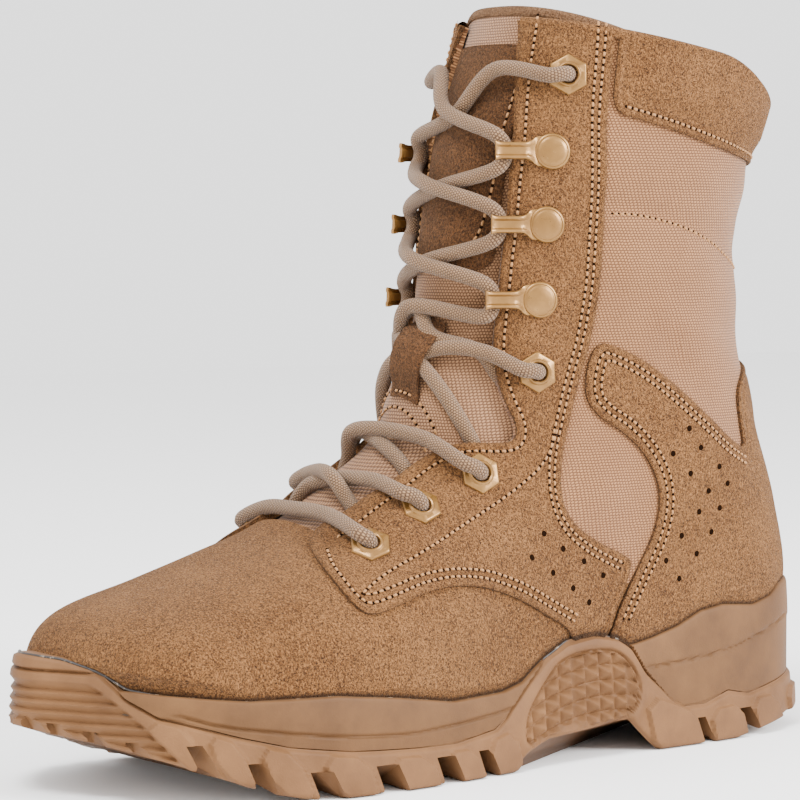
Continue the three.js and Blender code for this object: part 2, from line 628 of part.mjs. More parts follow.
function makeTongue() {
  const outside = WALL + TONGUE_GAP;
  const head = [COLLAR + 0.8];
  const skin = filledForm(-outside, { head })
    .subtract(filledForm(-outside - TONGUE_THICKNESS, { drop: 9, lift: 12, head }));
  const edge = THROAT_EDGE.slice(0, -1).map(([a, h]) => [a - TONGUE_TUCK / LENGTH, h]);
  const outline = [[edge[0][0], 2.3], ...edge, [TONGUE_FOOT, 0.6], [TONGUE_FOOT, 1], [0.9, 1.2], [0.9, 2.3]];
  return skin.intersect(sidePrism(outline, -SHAFT_WIDTH, SHAFT_WIDTH));
}

function makePatch() {
  const outside = WALL + TONGUE_GAP - CLEARANCE;
  const skin = filledForm(-outside + PATCH_THICKNESS).subtract(filledForm(-outside, { drop: 9, lift: 12 }));
  const band = sidePrism([[0, PATCH.foot], [0.9, PATCH.foot], [0.9, PATCH.head], [0, PATCH.head]],
    -SHAFT_WIDTH, SHAFT_WIDTH);
  return skin.intersect(throatPrism(-1.5, -SHAFT_WIDTH, SHAFT_WIDTH)).intersect(band);
}

// A frame on the form: out along its normal, up along the sections, and across the boot
function frameAt(station, u, offset) {
  const out = formNormal(station, u);
  const upward = formPoint(station + 0.05, u).sub(formPoint(station - 0.05, u)).normalize();
  const across = new THREE.Vector3().crossVectors(upward, out).normalize();
  const truly = new THREE.Vector3().crossVectors(out, across).normalize();
  return new THREE.Matrix4().makeBasis(across, truly, out).setPosition(offsetPoint(station, u, offset));
}

function ridgeStation(height) {
  let [low, high] = [3, COLLAR];
  for (let round = 0; round < 30; round += 1) {
    const middle = (low + high) / 2;
    if (formPoint(middle, 0).z < height) low = middle;
    else high = middle;
  }
  return (low + high) / 2;
}

// A strip of suede on the tongue, held at its head and foot, with the laces passing behind it
function makeKeeper() {
  const [half, skin] = [KEEPER_HEIGHT / 2, KEEPER_THICKNESS];
  const high = LACE_DIAMETER + 2 * CLEARANCE + skin;
  const shape = new THREE.Shape([
    [-half, 0], [-half + skin, 0], [-half + 2.5 * skin, high - skin], [half - 2.5 * skin, high - skin],
    [half - skin, 0], [half, 0], [half - skin, high], [-half + skin, high],
  ].map(([x, y]) => new THREE.Vector2(x, y)));
  const geometry = new THREE.ExtrudeGeometry(shape, { depth: KEEPER_WIDTH, bevelEnabled: false });
  geometry.translate(0, 0, -KEEPER_WIDTH / 2);
  const upwardOutAcross = new THREE.Matrix4().set(0, 0, 1, 0, 1, 0, 0, 0, 0, 1, 0, 0, 0, 0, 0, 1);
  geometry.applyMatrix4(upwardOutAcross);
  geometry.applyMatrix4(frameAt(KEEPER_MIDDLE, 0, -WALL - TONGUE_GAP + KEEPER_SEAT));
  return solidOf(geometry);
}

// Hardware, each piece drawn in its own plane with Z away from the boot
function hexEyelet() {
  const corner = EYELET_ACROSS / Math.sqrt(3);
  const ring = Array.from({ length: 6 }, (_, k) => k * Math.PI / 3);
  const shape = new THREE.Shape(ring.map((angle) => new THREE.Vector2(corner * Math.cos(angle), corner * Math.sin(angle))));
  const bore = Array.from({ length: 10 }, (_, k) => -k * Math.PI / 5);
  shape.holes.push(new THREE.Path(bore.map((angle) => new THREE.Vector2(
    (EYELET_BORE / 2) * Math.cos(angle),
    (EYELET_BORE / 2) * Math.sin(angle),
  ))));
  return solidOf(new THREE.ExtrudeGeometry(shape, { depth: EYELET_THICKNESS, bevelEnabled: false }));
}

// A round cap with a channelled arm that reaches forward over the throat's edge, away from the leather
function lacingHook() {
  const cap = new THREE.CylinderGeometry(HOOK_DISC / 2, HOOK_DISC / 2, HOOK_THICKNESS, 12);
  cap.applyMatrix4(new THREE.Matrix4().makeRotationX(Math.PI / 2));
  cap.translate(0, 0, HOOK_THICKNESS / 2);
  const [half, tip] = [HOOK_WIDTH / 2, HOOK_REACH];
  const neck = HOOK_DISC / 2;
  const side = [
    [0, 0], [neck, 0], [neck + 3, 1.6], [tip - 2, 1.6], [tip, 2.6],
    [tip, 4], [tip - 2.4, 3.1], [neck + 2, 3.1], [neck - 1, HOOK_THICKNESS], [0, HOOK_THICKNESS],
  ];
  const shape = new THREE.Shape(side.map(([x, y]) => new THREE.Vector2(x, y)));
  const arm = new THREE.ExtrudeGeometry(shape, { depth: HOOK_WIDTH, bevelEnabled: false });
  arm.translate(0, 0, -half);
  arm.applyMatrix4(new THREE.Matrix4().makeRotationX(Math.PI / 2));
  return solidOf(cap).add(solidOf(arm));
}

function placed(solid, frame) {
  const geometry = geometryOf(solid);
  geometry.applyMatrix4(frame);
  return solidOf(geometry);
}

// The frame of a fitting: X points forward along the side, Z away from the leather
function fittingFrame(row, side, offset) {
  const { station, u } = placeOnForm(row.along, row.up, side);
  const out = formNormal(station, u);
  const forward = new THREE.Vector3().crossVectors(out, new THREE.Vector3(0, 0, side)).normalize();
  const level = new THREE.Vector3().crossVectors(out, forward);
  return new THREE.Matrix4().makeBasis(forward, level, out).setPosition(offsetPoint(station, u, offset));
}

// Laces
function strand(points) {
  const curve = new THREE.CatmullRomCurve3(points);
  const radius = LACE_DIAMETER / 2;
  const shape = new THREE.Shape(Array.from({ length: 6 }, (_, k) => new THREE.Vector2(
    radius * Math.cos(k * Math.PI / 3),
    radius * Math.sin(k * Math.PI / 3),
  )));
  return solidOf(new THREE.ExtrudeGeometry(shape, { steps: 6, extrudePath: curve, bevelEnabled: false }));
}

const LACE_LIE = CLEARANCE + OVERLAY + LACE_DIAMETER / 2 + 0.65;
const LACE_STACK = LACE_DIAMETER * 0.45;
const LACE_PART = 3.4;
const LACE_SINK = 1.4;
const LACE_STOP = { eyelet: 0.18, hook: 0.27 };
const KEEPER_LACE = -WALL - TONGUE_GAP + KEEPER_SEAT + CLEARANCE + LACE_DIAMETER / 2;
const KEEPER_MIDDLE = ridgeStation(up((KEEPER.foot + KEEPER.head) / 2));
const ABOVE_KEEPER = ridgeStation(up(KEEPER.head) + 9);

// A lace starts a little towards the next row, so that two strands at one fitting lie side by side
function partedPlace(row, towards, side) {
  const gap = Math.hypot(LENGTH * (towards.along - row.along), up(towards.up) - up(row.up));
  const share = LACE_PART / gap;
  return placeOnForm(
    row.along + (towards.along - row.along) * share,
    row.up + (towards.up - row.up) * share,
    side,
  );
}

// A strand from one side's fitting to the other's: layer lifts or sinks it where it meets its partner
function crossingStrand(from, to, side, { layer, crossAt, sink = LACE_SINK }) {
  const start = partedPlace(from, to, side);
  const end = partedPlace(to, from, -side);
  const halfway = (start.station + end.station) / 2;
  const [first, last] = [LACE_STOP[from.kind], 1 - LACE_STOP[to.kind]];
  const stops = [first, 0.4, 0.5, 0.6, last];
  return strand(stops.map((s) => {
    const pull = 1 - Math.abs(2 * s - 1);
    const station = start.station + (end.station - start.station) * s + ((crossAt ?? halfway) - halfway) * pull;
    const u = start.u + (end.u - start.u) * s;
    const lie = LACE_LIE + layer * LACE_STACK * pull - sink * Math.max(0, 1 - 1.8 * Math.abs(2 * s - 1));
    return offsetPoint(station, u, lie);
  }));
}

function laceCrossing(from, to, { crossAt, flat = false, sink } = {}) {
  const layer = flat ? 0 : 1;
  return crossingStrand(from, to, 1, { layer: -layer, crossAt, sink })
    .add(crossingStrand(from, to, -1, { layer, crossAt, sink }));
}

function laceBar(row, next) {
  const away = { along: 2 * row.along - next.along, up: 2 * row.up - next.up };
  const start = partedPlace(row, away, 1);
  const end = partedPlace(row, away, -1);
  return strand([0.18, 0.34, 0.5, 0.66, 0.82].map((s) => offsetPoint(
    start.station + (end.station - start.station) * s,
    start.u + (end.u - start.u) * s,
    LACE_LIE,
  )));
}

// Assembly
const boot = new THREE.Group();

function addPiece(name, solid, material) {
  const mesh = new THREE.Mesh(geometryOf(solid), material);
  mesh.name = name;
  boot.add(mesh);
}

const throat = throatPrism(0, -SHAFT_WIDTH, SHAFT_WIDTH);
const soleKeepOut = outsoleBody().add(midsoleBody(0));

addPiece('outsole', makeOutsole(), rubber);
addPiece('midsole', makeMidsole(), foam);
addPiece('upper', makeUpper(throat), nylon);
addPiece('insole', makeInsole(), sock);
addPiece('tongue', makeTongue(), nylon);
addPiece('tongue_patch', makePatch(), darkSuede);
addPiece('lace_keeper', makeKeeper(), darkSuede);
addPiece('quarter_lateral', makeOverlay(QUARTER, 0, SHAFT_WIDTH, soleKeepOut), suede);
addPiece('quarter_medial', makeOverlay(QUARTER, -SHAFT_WIDTH, 0, soleKeepOut), suede);
addPiece('counter', makeOverlay(COUNTER, -SHAFT_WIDTH, SHAFT_WIDTH, soleKeepOut), suede);
addPiece('collar_cuff', makeOverlay(CUFF, -SHAFT_WIDTH, SHAFT_WIDTH, soleKeepOut), suede);

const eyelet = hexEyelet();
const hook = lacingHook();
LACE_ROWS.forEach((row, i) => {
  for (const [sideName, side] of [['lateral', 1], ['medial', -1]]) {
    const frame = fittingFrame(row, side, CLEARANCE + OVERLAY + FITTING_GAP);
    addPiece(`${row.kind}_${i + 1}_${sideName}`, placed(row.kind === 'hook' ? hook : eyelet, frame), paint);
  }
});

addPiece('lace_bar_1', laceBar(LACE_ROWS[0], LACE_ROWS[1]), cord);
LACE_ROWS.slice(0, -1).forEach((row, i) => {
  const special = {
    2: { crossAt: KEEPER_MIDDLE, flat: true, sink: LACE_LIE - KEEPER_LACE },
    3: { crossAt: ABOVE_KEEPER, sink: 1.6 * LACE_SINK },
  };
  addPiece(`lace_crossing_${i + 1}_${i + 2}`, laceCrossing(row, LACE_ROWS[i + 1], special[i]), cord);
});

export default boot;
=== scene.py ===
"""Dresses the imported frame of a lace-up boot: skins, stitched panels, laces, fittings and a moulded sole."""
import math

import bmesh
import bpy
import numpy as np
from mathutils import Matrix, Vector, kdtree


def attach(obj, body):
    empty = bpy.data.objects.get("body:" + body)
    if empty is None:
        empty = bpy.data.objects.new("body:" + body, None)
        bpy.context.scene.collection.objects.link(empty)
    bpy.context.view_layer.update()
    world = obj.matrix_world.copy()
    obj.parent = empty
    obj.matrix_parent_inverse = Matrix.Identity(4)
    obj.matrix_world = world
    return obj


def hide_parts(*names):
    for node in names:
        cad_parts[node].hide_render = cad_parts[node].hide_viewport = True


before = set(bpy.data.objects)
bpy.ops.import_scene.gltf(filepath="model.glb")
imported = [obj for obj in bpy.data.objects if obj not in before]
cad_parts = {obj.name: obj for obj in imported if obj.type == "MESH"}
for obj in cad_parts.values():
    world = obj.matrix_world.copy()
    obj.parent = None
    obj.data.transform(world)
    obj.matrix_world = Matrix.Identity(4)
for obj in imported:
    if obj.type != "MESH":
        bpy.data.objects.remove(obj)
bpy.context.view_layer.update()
MM = 0.001
PI = math.pi

# Camera and soft light: places in metres, angles in degrees, powers in watts
CAMERA_PLACE, CAMERA_TILT, CAMERA_TURN, LENS = (0.8809, -0.6612, 0.181), 86.883, 53.7, 145.7
LIGHTS = {
    "key": ((0.35, -0.75, 1.6), (0, -0.02, 0.1), 0.7, 42),
    "side": ((1.3, 0.75, 0.8), (0, 0.05, 0.12), 0.7, 54),
    "front": ((0.1, -1.4, 0.5), (0, 0, 0.12), 0.8, 5),
}
WORLD_STRENGTH = 2.1
camera_data = bpy.data.cameras.new("camera")
camera_data.sensor_width = 36
camera_data.lens = LENS
camera = bpy.data.objects.new("camera", camera_data)
camera.location = CAMERA_PLACE
camera.rotation_euler = (math.radians(CAMERA_TILT), 0, math.radians(CAMERA_TURN))
bpy.context.scene.collection.objects.link(camera)
bpy.context.scene.camera = camera


def area_light(name, place, target, size, power):
    data = bpy.data.lights.new(name, "AREA")
    data.shape = "DISK"
    data.size = size
    data.energy = power
    lamp = bpy.data.objects.new(name, data)
    lamp.location = place
    lamp.rotation_euler = (Vector(target) - lamp.location).to_track_quat("-Z", "Y").to_euler()
    bpy.context.scene.collection.objects.link(lamp)


for light_name, settings in LIGHTS.items():
    area_light(light_name, *settings)
world = bpy.data.worlds.new("studio")
world.use_nodes = True
sky = world.node_tree.nodes["Background"].inputs
sky["Color"].default_value = (1, 1, 1, 1)
sky["Strength"].default_value = WORLD_STRENGTH
bpy.context.scene.world = world

# The form of the upper, repeated from the solids
LENGTH, BALL_WIDTH, SHAFT_WIDTH = 312, 110, 92
INSTEP, HEEL_SEAT, COLLAR_FRONT, COLLAR_BACK = 112, 36, 250, 230
SOLE_MIDDLE = BALL_WIDTH * (0.518 - 0.480) / 2
WALL, OVERLAY, SEAT = 2.2, 1.2, 0.35
PANEL = SEAT + OVERLAY
TONGUE_OUT = -WALL - 0.8
TUCK, TUCK_EASE, TUCK_FADE, TUCK_LAYER = 4.6, 3.0, (0.5, 12.0), 0.8
COLLAR_DROP, DROP_HEIGHTS, DROP_ALONG = 13.0, (196, 234), (8, 66)
SOLE_LEDGE, LUG_HEIGHT = 3.4, 9
TOE_REACH, TOE_MIDDLE, TOE_ROUND, TOE_DOME, TOE_FALL, TOE_LIFT = 0.971, -0.109, 2.2, 3.2, 0.7, 5
# A row: the front's place and height, the back's, the two half widths, the ridge's shift, the height share and
# flare of the widest place, and how square the lower and upper quarters are
FOOT_SECTIONS = [
    [0.827, 0.589, 0.827, 0.583, 0.418, -0.436, -0.082, 0.3, 3, 2.2, 2.5],
    [0.756, 0.652, 0.756, 0.556, 0.464, -0.455, -0.082, 0.28, 3, 2.2, 2.4],
    [0.686, 0.732, 0.667, 0.528, 0.482, -0.436, -0.073, 0.27, 3, 2.2, 2.2],
    [0.619, 0.866, 0.571, 0.528, 0.455, -0.391, -0.055, 0.27, 3, 2.2, 2.1],
    [0.561, 1, 0.465, 0.611, 0.409, -0.336, -0.036, 0.28, 3, 2.2, 2],
    [0.545, 1.123, 0.353, 0.75, 0.373, -0.314, -0.018, 0.3, 1.8, 2.2, 2],
    [0.519, 1.261, 0.224, 0.889, 0.355, -0.323, 0, 0.34, 0.7, 2.1, 2.1],
    [0.51, 1.384, 0.096, 1, 0.355, -0.345, 0, 0.4, 0.2, 2.1, 2.2],
]
SHAFT_SECTIONS = [
    [0.5, 1.507, 0.016, 1.031, 0.435, -0.424, 0, 0.42, 0, 2, 2.3],
    [0.494, 1.565, 0.026, 1.186, 0.435, -0.435, 0, 0.45, 0, 2, 2.3],
    [0.484, 1.638, 0.064, 1.361, 0.435, -0.435, 0, 0.45, 0, 2, 2.3],
    [0.473, 1.732, 0.083, 1.536, 0.446, -0.446, 0, 0.45, 0, 2, 2.3],
    [0.455, 1.826, 0.087, 1.701, 0.457, -0.457, 0, 0.45, 0, 2, 2.3],
    [0.438, 1.913, 0.074, 1.856, 0.478, -0.478, 0, 0.45, 0, 2.1, 2.3],
    [0.423, 2, 0.058, 2, 0.5, -0.5, 0, 0.45, 0, 2.2, 2.3],
    [0.407, 2.087, 0.042, 2.072, 0.51, -0.51, 0, 0.45, 0, 2.2, 2.3],
]
# The collar's station, and the girth where the upper quarter meets the lower one
COLLAR, TURN = 14, 0.55
# Outlines in the side view: share of the length, and share of the heights
THROAT_EDGE = [
    [0.413, 2.014], [0.432, 1.851], [0.446, 1.681], [0.455, 1.507], [0.466, 1.312], [0.474, 1.196],
    [0.474, 1.123], [0.468, 1.058], [0.46, 1.011], [0.462, 0.973], [0.474, 0.958], [0.516, 0.964],
    [0.532, 0.955], [0.55, 0.925], [0.643, 0.78], [0.683, 0.714],
]
QUARTER_FRONT = [
    [0.7, 0.688], [0.714, 0.634], [0.712, 0.562], [0.7, 0.509], [0.683, 0.5], [0.652, 0.522],
    [0.61, 0.556], [0.569, 0.562], [0.527, 0.546], [0.485, 0.502], [0.448, 0.448], [0.41, 0.395],
    [0.385, 0.25],
]
QUARTER_REAR = [
    [0.362, 0.25], [0.359, 0.375], [0.315, 0.576], [0.33, 0.607], [0.362, 0.643], [0.397, 0.699],
    [0.413, 0.762], [0.415, 0.846], [0.406, 0.949], [0.397, 1.014], [0.383, 1.117], [0.368, 1.214],
    [0.359, 1.337], [0.355, 1.504], [0.354, 1.656], [0.353, 1.773], [0.348, 1.876], [0.34, 2.05],
]
COUNTER_TOP = [
    [0.364, 1.214], [0.331, 1.193], [0.292, 1.149], [0.25, 1.084], [0.212, 1.019], [0.17, 0.939],
    [0.139, 0.904],
]
COUNTER_FRONT = [
    [0.354, 0.179], [0.354, 0.375], [0.309, 0.565], [0.29, 0.64], [0.279, 0.72], [0.279, 0.812],
    [0.297, 0.908], [0.33, 0.987], [0.356, 1.017], [0.38, 1.08],
]
COUNTER = COUNTER_TOP + [
    [0.15, 1.02], [0.15, 1.08], [0.128, 1.13], [0.064, 1.16], [-0.045, 1.17], [-0.045, 0.1],
    [0.354, 0.1],
] + COUNTER_FRONT
CUFF_FOOT = [
    [0.347, 1.774], [0.313, 1.755], [0.26, 1.725], [0.215, 1.696], [0.156, 1.669], [0.064, 1.645],
    [-0.038, 1.638],
]
CUFF = CUFF_FOOT + [[-0.038, 2.2], [0.328, 2.2], [0.343, 1.876]]


def rise(share, first, last):
    """Height in mm of a share: to 1 in the foot, from 1 to 2 in the shaft."""
    return np.where(share <= 1, share * first, first + (share - 1) * (last - first))


def section_rows():
    rows = []
    for table, width in ((FOOT_SECTIONS, BALL_WIDTH), (SHAFT_SECTIONS, SHAFT_WIDTH)):
        for front, front_up, back, back_up, lateral, medial, ridge, *rest in table:
            rows.append([LENGTH * front, float(rise(front_up, INSTEP, COLLAR_FRONT)), LENGTH * back,
                         float(rise(back_up, HEEL_SEAT, COLLAR_BACK)), width * lateral, width * medial,
                         width * ridge, *rest])
    return np.array(rows)


SECTIONS = section_rows()


def station_rows(v):
    """Section rows at stations: a smooth curve through the table, and a round toe before it."""
    place = np.clip(v, 0, len(SECTIONS) - 1)
    i = np.clip(np.floor(place).astype(int), 0, len(SECTIONS) - 2)
    f = (place - i)[..., None]
    p1, p2 = SECTIONS[i], SECTIONS[i + 1]
    p0 = np.where((i == 0)[..., None], 2 * p1 - p2, SECTIONS[np.maximum(i - 1, 0)])
    last = len(SECTIONS) - 1
    p3 = np.where((i == last - 1)[..., None], 2 * p2 - p1, SECTIONS[np.minimum(i + 2, last)])
    rows = 0.5 * (2 * p1 + (p2 - p0) * f + (2 * p0 - 5 * p1 + 4 * p2 - p3) * f ** 2
                  + (3 * p1 - p0 - 3 * p2 + p3) * f ** 3)
    t = np.clip(-v, 0, 1)
    start, following = SECTIONS[0], SECTIONS[1]
    along = start[0] + (LENGTH * TOE_REACH - start[0]) * t
    slope = (following[1] - start[1]) / (following[0] - start[0])
    top = start[1] + slope * (along - start[0]) * (1 - TOE_FALL * t)
    side = (1 - t ** TOE_ROUND) ** (1 / TOE_ROUND)
    height = (1 - t ** TOE_DOME) ** (1 / TOE_DOME)
    centre = start[6] + (TOE_MIDDLE * BALL_WIDTH - start[6]) * t
    floor = start[3] + TOE_LIFT * t * t
    toe = [along, floor + (top - floor) * height, along, floor, centre + (start[4] - centre) * side,
           centre + (start[5] - centre) * side, centre] + [start[k] + 0 * t for k in range(7, 11)]
    return np.where((v < 0)[..., None], np.stack(toe, -1), rows)


def form(v, u):
    """Points of the upper's form: v runs from the toe to the collar, u from medial -1 to lateral 1."""
    v, u = np.broadcast_arrays(np.asarray(v, float), np.asarray(u, float))
    rows = np.moveaxis(station_rows(v), -1, 0)
    front, front_z, back, back_z, lateral, medial, ridge, belly, spread, low, high = rows
    t = np.abs(u)
    width = np.where(u >= 0, lateral, medial)
    angle = np.clip(t / TURN, 0, 1) * PI / 2
    x_high = ridge + (width - ridge) * np.sin(angle) ** (2 / high)
    tau_high = belly + (1 - belly) * np.maximum(np.cos(angle), 0) ** (2 / high)
    reach = belly / (belly + np.maximum(spread, 0))
    angle = np.clip((t - TURN) / (1 - TURN), 0, 1) * np.arcsin(np.minimum(1, reach ** (low / 2)))
    x_low = width * np.maximum(np.cos(angle), 0) ** (2 / low)
    x_low = np.where((spread <= 0) & (t >= 1), 0, x_low)
    tau_low = belly - belly / reach * np.sin(angle) ** (2 / low)
    x = np.where(t <= TURN, x_high, x_low)
    tau = np.where(t <= TURN, tau_high, tau_low)
    y = LENGTH / 2 - (back + (front - back) * tau)
    return np.stack([x - SOLE_MIDDLE, y, back_z + (front_z - back_z) * tau], -1)


def unit(vectors):
    return vectors / np.maximum(np.linalg.norm(vectors, axis=-1, keepdims=True), 1e-9)


def bell(x, centre, width):
    return np.exp(-((x - centre) / width) ** 2)


def step_in(x, low, high):
    """0 up to low, 1 from high on, and a smooth step between."""
    t = np.clip((x - low) / (high - low), 0, 1)
    return t * t * (3 - 2 * t)


def run_of(points):
    """Length along a line, from its start to each of its points."""
    return np.concatenate([[0], np.cumsum(np.linalg.norm(np.diff(points, axis=0), axis=1))])


def evenly(points, pitch):
    """The line again, with its points a pitch apart."""
    place = run_of(points)
    at = np.linspace(0, place[-1], max(2, int(round(place[-1] / pitch)) + 1))
    return np.stack([np.interp(at, place, points[:, k]) for k in range(points.shape[1])], 1)


def form_normal(v, u):
    v, u = np.broadcast_arrays(np.asarray(v, float), np.asarray(u, float))
    across = form(v, np.minimum(1, u + 0.01)) - form(v, np.maximum(-1, u - 0.01))
    forward = form(v + 0.02, u) - form(np.maximum(-0.999, v - 0.02), u)
    normal = unit(np.cross(across, forward))
    core = (form(v, 0 * u) + form(v, 0 * u + 1)) / 2
    facing = np.sum(normal * (form(v, u) - core), -1, keepdims=True)
    return np.where(facing < 0, -normal, normal)


# Soft creases and swellings, in the side view: line, width and height
CREASES = [
    ([(188, 66), (200, 78), (204, 90)], 5.0, -0.7),
    ([(172, 66), (182, 80), (184, 94)], 6.0, -0.6),
    ([(220, 32), (214, 46), (216, 58)], 7.0, -0.5),
    ([(150, 40), (158, 52), (160, 60)], 6.0, -0.7),
    ([(108, 128), (88, 121), (68, 108)], 7.0, 0.8),
    ([(40, 100), (60, 118), (84, 136)], 6.0, -0.7),
    ([(30, 118), (50, 134), (84, 150)], 7.0, 0.9),
    ([(28, 152), (60, 160), (100, 166)], 9.0, 1.1),
    ([(40, 172), (70, 180), (108, 187)], 3.5, -0.9),
    ([(30, 192), (66, 196), (104, 201)], 8.0, 1.2),
    ([(140, 116), (132, 150), (130, 200)], 9.0, 0.5),
    ([(30, 60), (60, 70), (80, 90)], 12.0, 0.6),
    ([(108, 92), (109, 94)], 11.0, 0.9),
    ([(22, 150), (24, 190), (18, 232)], 24.0, -2.6),
]


def segment_distance(points, line, closed=False):
    """Distance of each side-view point from a line of points."""
    line = np.asarray(line, float)
    ends = np.roll(line, -1, 0) if closed else line[1:]
    best = np.full(len(points), 1e9)
    for start, end in zip(line, ends):
        step = end - start
        t = np.clip(((points - start) @ step) / max(step @ step, 1e-9), 0, 1)
        best = np.minimum(best, np.linalg.norm(points - start - t[:, None] * step, axis=1))
    return best


def side_view(points):
    return np.stack([LENGTH / 2 - points[..., 1], points[..., 2]], -1)


def relief(points):
    flat = side_view(points).reshape(-1, 2)
    total = np.zeros(len(flat))
    for line, width, height in CREASES:
        total += height * np.exp(-(segment_distance(flat, smooth_line(line, 2)) / width) ** 2)
    return total.reshape(points.shape[:-1])


def surface(v, u, offset):
    """Points of the dressed upper at an offset outwards from the form."""
    points = form(v, u)
    points = points + form_normal(v, u) * (np.asarray(offset) + relief(points))[..., None]
    flat = side_view(points)
    drop = step_in(flat[..., 1], *DROP_HEIGHTS) * (1 - step_in(flat[..., 0], *DROP_ALONG))
    points[..., 2] -= COLLAR_DROP * drop
    return tucked(points, np.broadcast_to(np.asarray(offset, float), points.shape[:-1]).ravel())


def tucked(points, offset):
    """Keeps the foot of the upper inside the sole's rim, eased out over its first few millimetres."""
    flat = points.reshape(-1, 3)
    rim = np.interp(LENGTH / 2 - flat[:, 1], LENGTH * RIM[:, 0], HEEL_SEAT * RIM[:, 1])
    low = np.flatnonzero(flat[:, 2] < rim + TUCK_FADE[1])
    moved = flat.copy()
    for part in np.array_split(low, max(1, len(low) // 4000)):
        away = flat[part][:, None, :2] - EDGE[None, :, :2]
        near = np.argmin(np.sum(away ** 2, -1), 1)
        out = OUT[near]
        depth = -np.sum(away[np.arange(len(part)), near] * out, 1)
        fade = step_in(flat[part, 2] - rim[part], *TUCK_FADE)
        wanted = TUCK - (TUCK + TUCK_EASE) * fade - TUCK_LAYER * offset[part]
        moved[part, :2] -= out * np.maximum(0, wanted - depth)[:, None]
    return moved.reshape(points.shape)


def smooth_line(line, rounds=2, closed=False):
    """Cuts the corners of a line a few times over."""
    line = np.asarray(line, float)
    for _ in range(rounds):
        after = np.roll(line, -1, 0) if closed else line[1:]
        here = line if closed else line[:-1]
        cut = np.stack([here * 0.75 + after * 0.25, here * 0.25 + after * 0.75], 1).reshape(-1, 2)
        line = cut if closed else np.concatenate([line[:1], cut, line[-1:]])
    return line


def outline(table, rounds=2, closed=True):
    table = np.array(table)
    line = np.stack([LENGTH * table[:, 0], rise(table[:, 1], INSTEP, COLLAR_FRONT)], 1)
    return smooth_line(line, rounds, closed)


def inside_distance(points, polygon):
    """Distance from the outline, positive inside it."""
    x, y = points.T
    inside = np.zeros(len(points), bool)
    for (x0, y0), (x1, y1) in zip(polygon, np.roll(polygon, -1, 0)):
        crosses = (y0 > y) != (y1 > y)
        inside ^= crosses & (x < x0 + (y - y0) * (x1 - x0) / (y1 - y0 if y1 != y0 else 1e-9))
    return np.where(inside, 1, -1) * segment_distance(points, polygon, True)


def in_outline(places, polygon):
    """Distance inside an outline of places on the form, given by station and girth."""
    return inside_distance(side_view(form(places[:, 0], places[:, 1])), polygon)


def grid(vs, us):
    """Points and triangles of a grid in the form's own two directions."""
    v, u = np.meshgrid(vs, us, indexing="ij")
    n = len(us)
    corner = (np.arange(len(vs) - 1)[:, None] * n + np.arange(n - 1)).ravel()
    faces = np.concatenate([np.stack([corner, corner + 1, corner + n + 1], 1),
                            np.stack([corner, corner + n + 1, corner + n], 1)])
    return np.stack([v.ravel(), u.ravel()], 1), faces


def cut(places, faces, value):
    """Splits faces along the line where value is zero, and says which faces lie on its positive side."""
    value = np.where(np.abs(value) < 1e-7, 1e-7, value)
    plus = value[faces] > 0
    mixed = (plus.sum(1) > 0) & (plus.sum(1) < 3)
    split, signs = faces[mixed], plus[mixed]
    odd = np.where(signs.sum(1) == 1, signs.argmax(1), (~signs).argmax(1))
    rows = np.arange(len(split))
    a, b, c = (split[rows, (odd + k) % 3] for k in range(3))
    n = len(places)
    keys = np.concatenate([np.minimum(a, b) * n + np.maximum(a, b), np.minimum(a, c) * n + np.maximum(a, c)])
    unique, back = np.unique(keys, return_inverse=True)
    low, high = unique // n, unique % n
    f = value[low] / (value[low] - value[high])
    fresh = places[low] + (places[high] - places[low]) * f[:, None]
    ab, ac = n + back[:len(rows)], n + back[len(rows):]
    alone = signs[rows, odd]
    pieces = [faces[~mixed], np.stack([a, ab, ac], 1), np.stack([ab, b, c], 1), np.stack([ab, c, ac], 1)]
    sides = np.concatenate([plus[~mixed][:, 0], alone, ~alone, ~alone])
    return np.concatenate([places, fresh]), np.concatenate(pieces), sides


def keep(places, faces):
    """Only the places that a face uses, and the faces over them."""
    used, index = np.unique(faces, return_inverse=True)
    return places[used], index.reshape(-1, 3)


def rim_edges(faces):
    """The edges that belong to one triangle alone."""
    edges = np.concatenate([faces[:, [0, 1]], faces[:, [1, 2]], faces[:, [2, 0]]])
    n = faces.max() + 1
    key = edges.min(1) * n + edges.max(1)
    _, first, count = np.unique(key, return_index=True, return_counts=True)
    return edges[first[count == 1]]


def walls(upper, lower):
    """Triangles between the ends of upper edges and those of lower ones."""
    return np.concatenate([np.stack([upper[:, 0], lower[:, 0], upper[:, 1]], 1),
                           np.stack([upper[:, 1], lower[:, 0], lower[:, 1]], 1)])


def tri(quads):
    return np.concatenate([quads[:, [0, 1, 2]], quads[:, [0, 2, 3]]])


def build(name, points, faces, material, nodes=(), fields=None, uv=None):
    data = bpy.data.meshes.new(name)
    size = faces.shape[1]
    data.vertices.add(len(points))
    data.vertices.foreach_set("co", (np.asarray(points) * MM).astype(np.float32).ravel())
    data.loops.add(faces.size)
    data.loops.foreach_set("vertex_index", faces.astype(np.int32).ravel())
    data.polygons.add(len(faces))
    data.polygons.foreach_set("loop_start", np.arange(0, faces.size, size, dtype=np.int32))
    data.update(calc_edges=True)
    data.polygons.foreach_set("use_smooth", np.ones(len(faces), bool))
    for key, values in (fields or {}).items():
        data.attributes.new(key, "FLOAT", "POINT").data.foreach_set("value", np.asarray(values, np.float32))
    if uv is not None:
        data.uv_layers.new(name="UVMap").data.foreach_set("uv", uv[faces.ravel()].astype(np.float32).ravel())
    data.validate()
    piece = bpy.data.objects.new(name, data)
    data.materials.append(material)
    bpy.context.scene.collection.objects.link(piece)
    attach(piece, "root")
    if nodes:
        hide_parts(*nodes)
    return piece


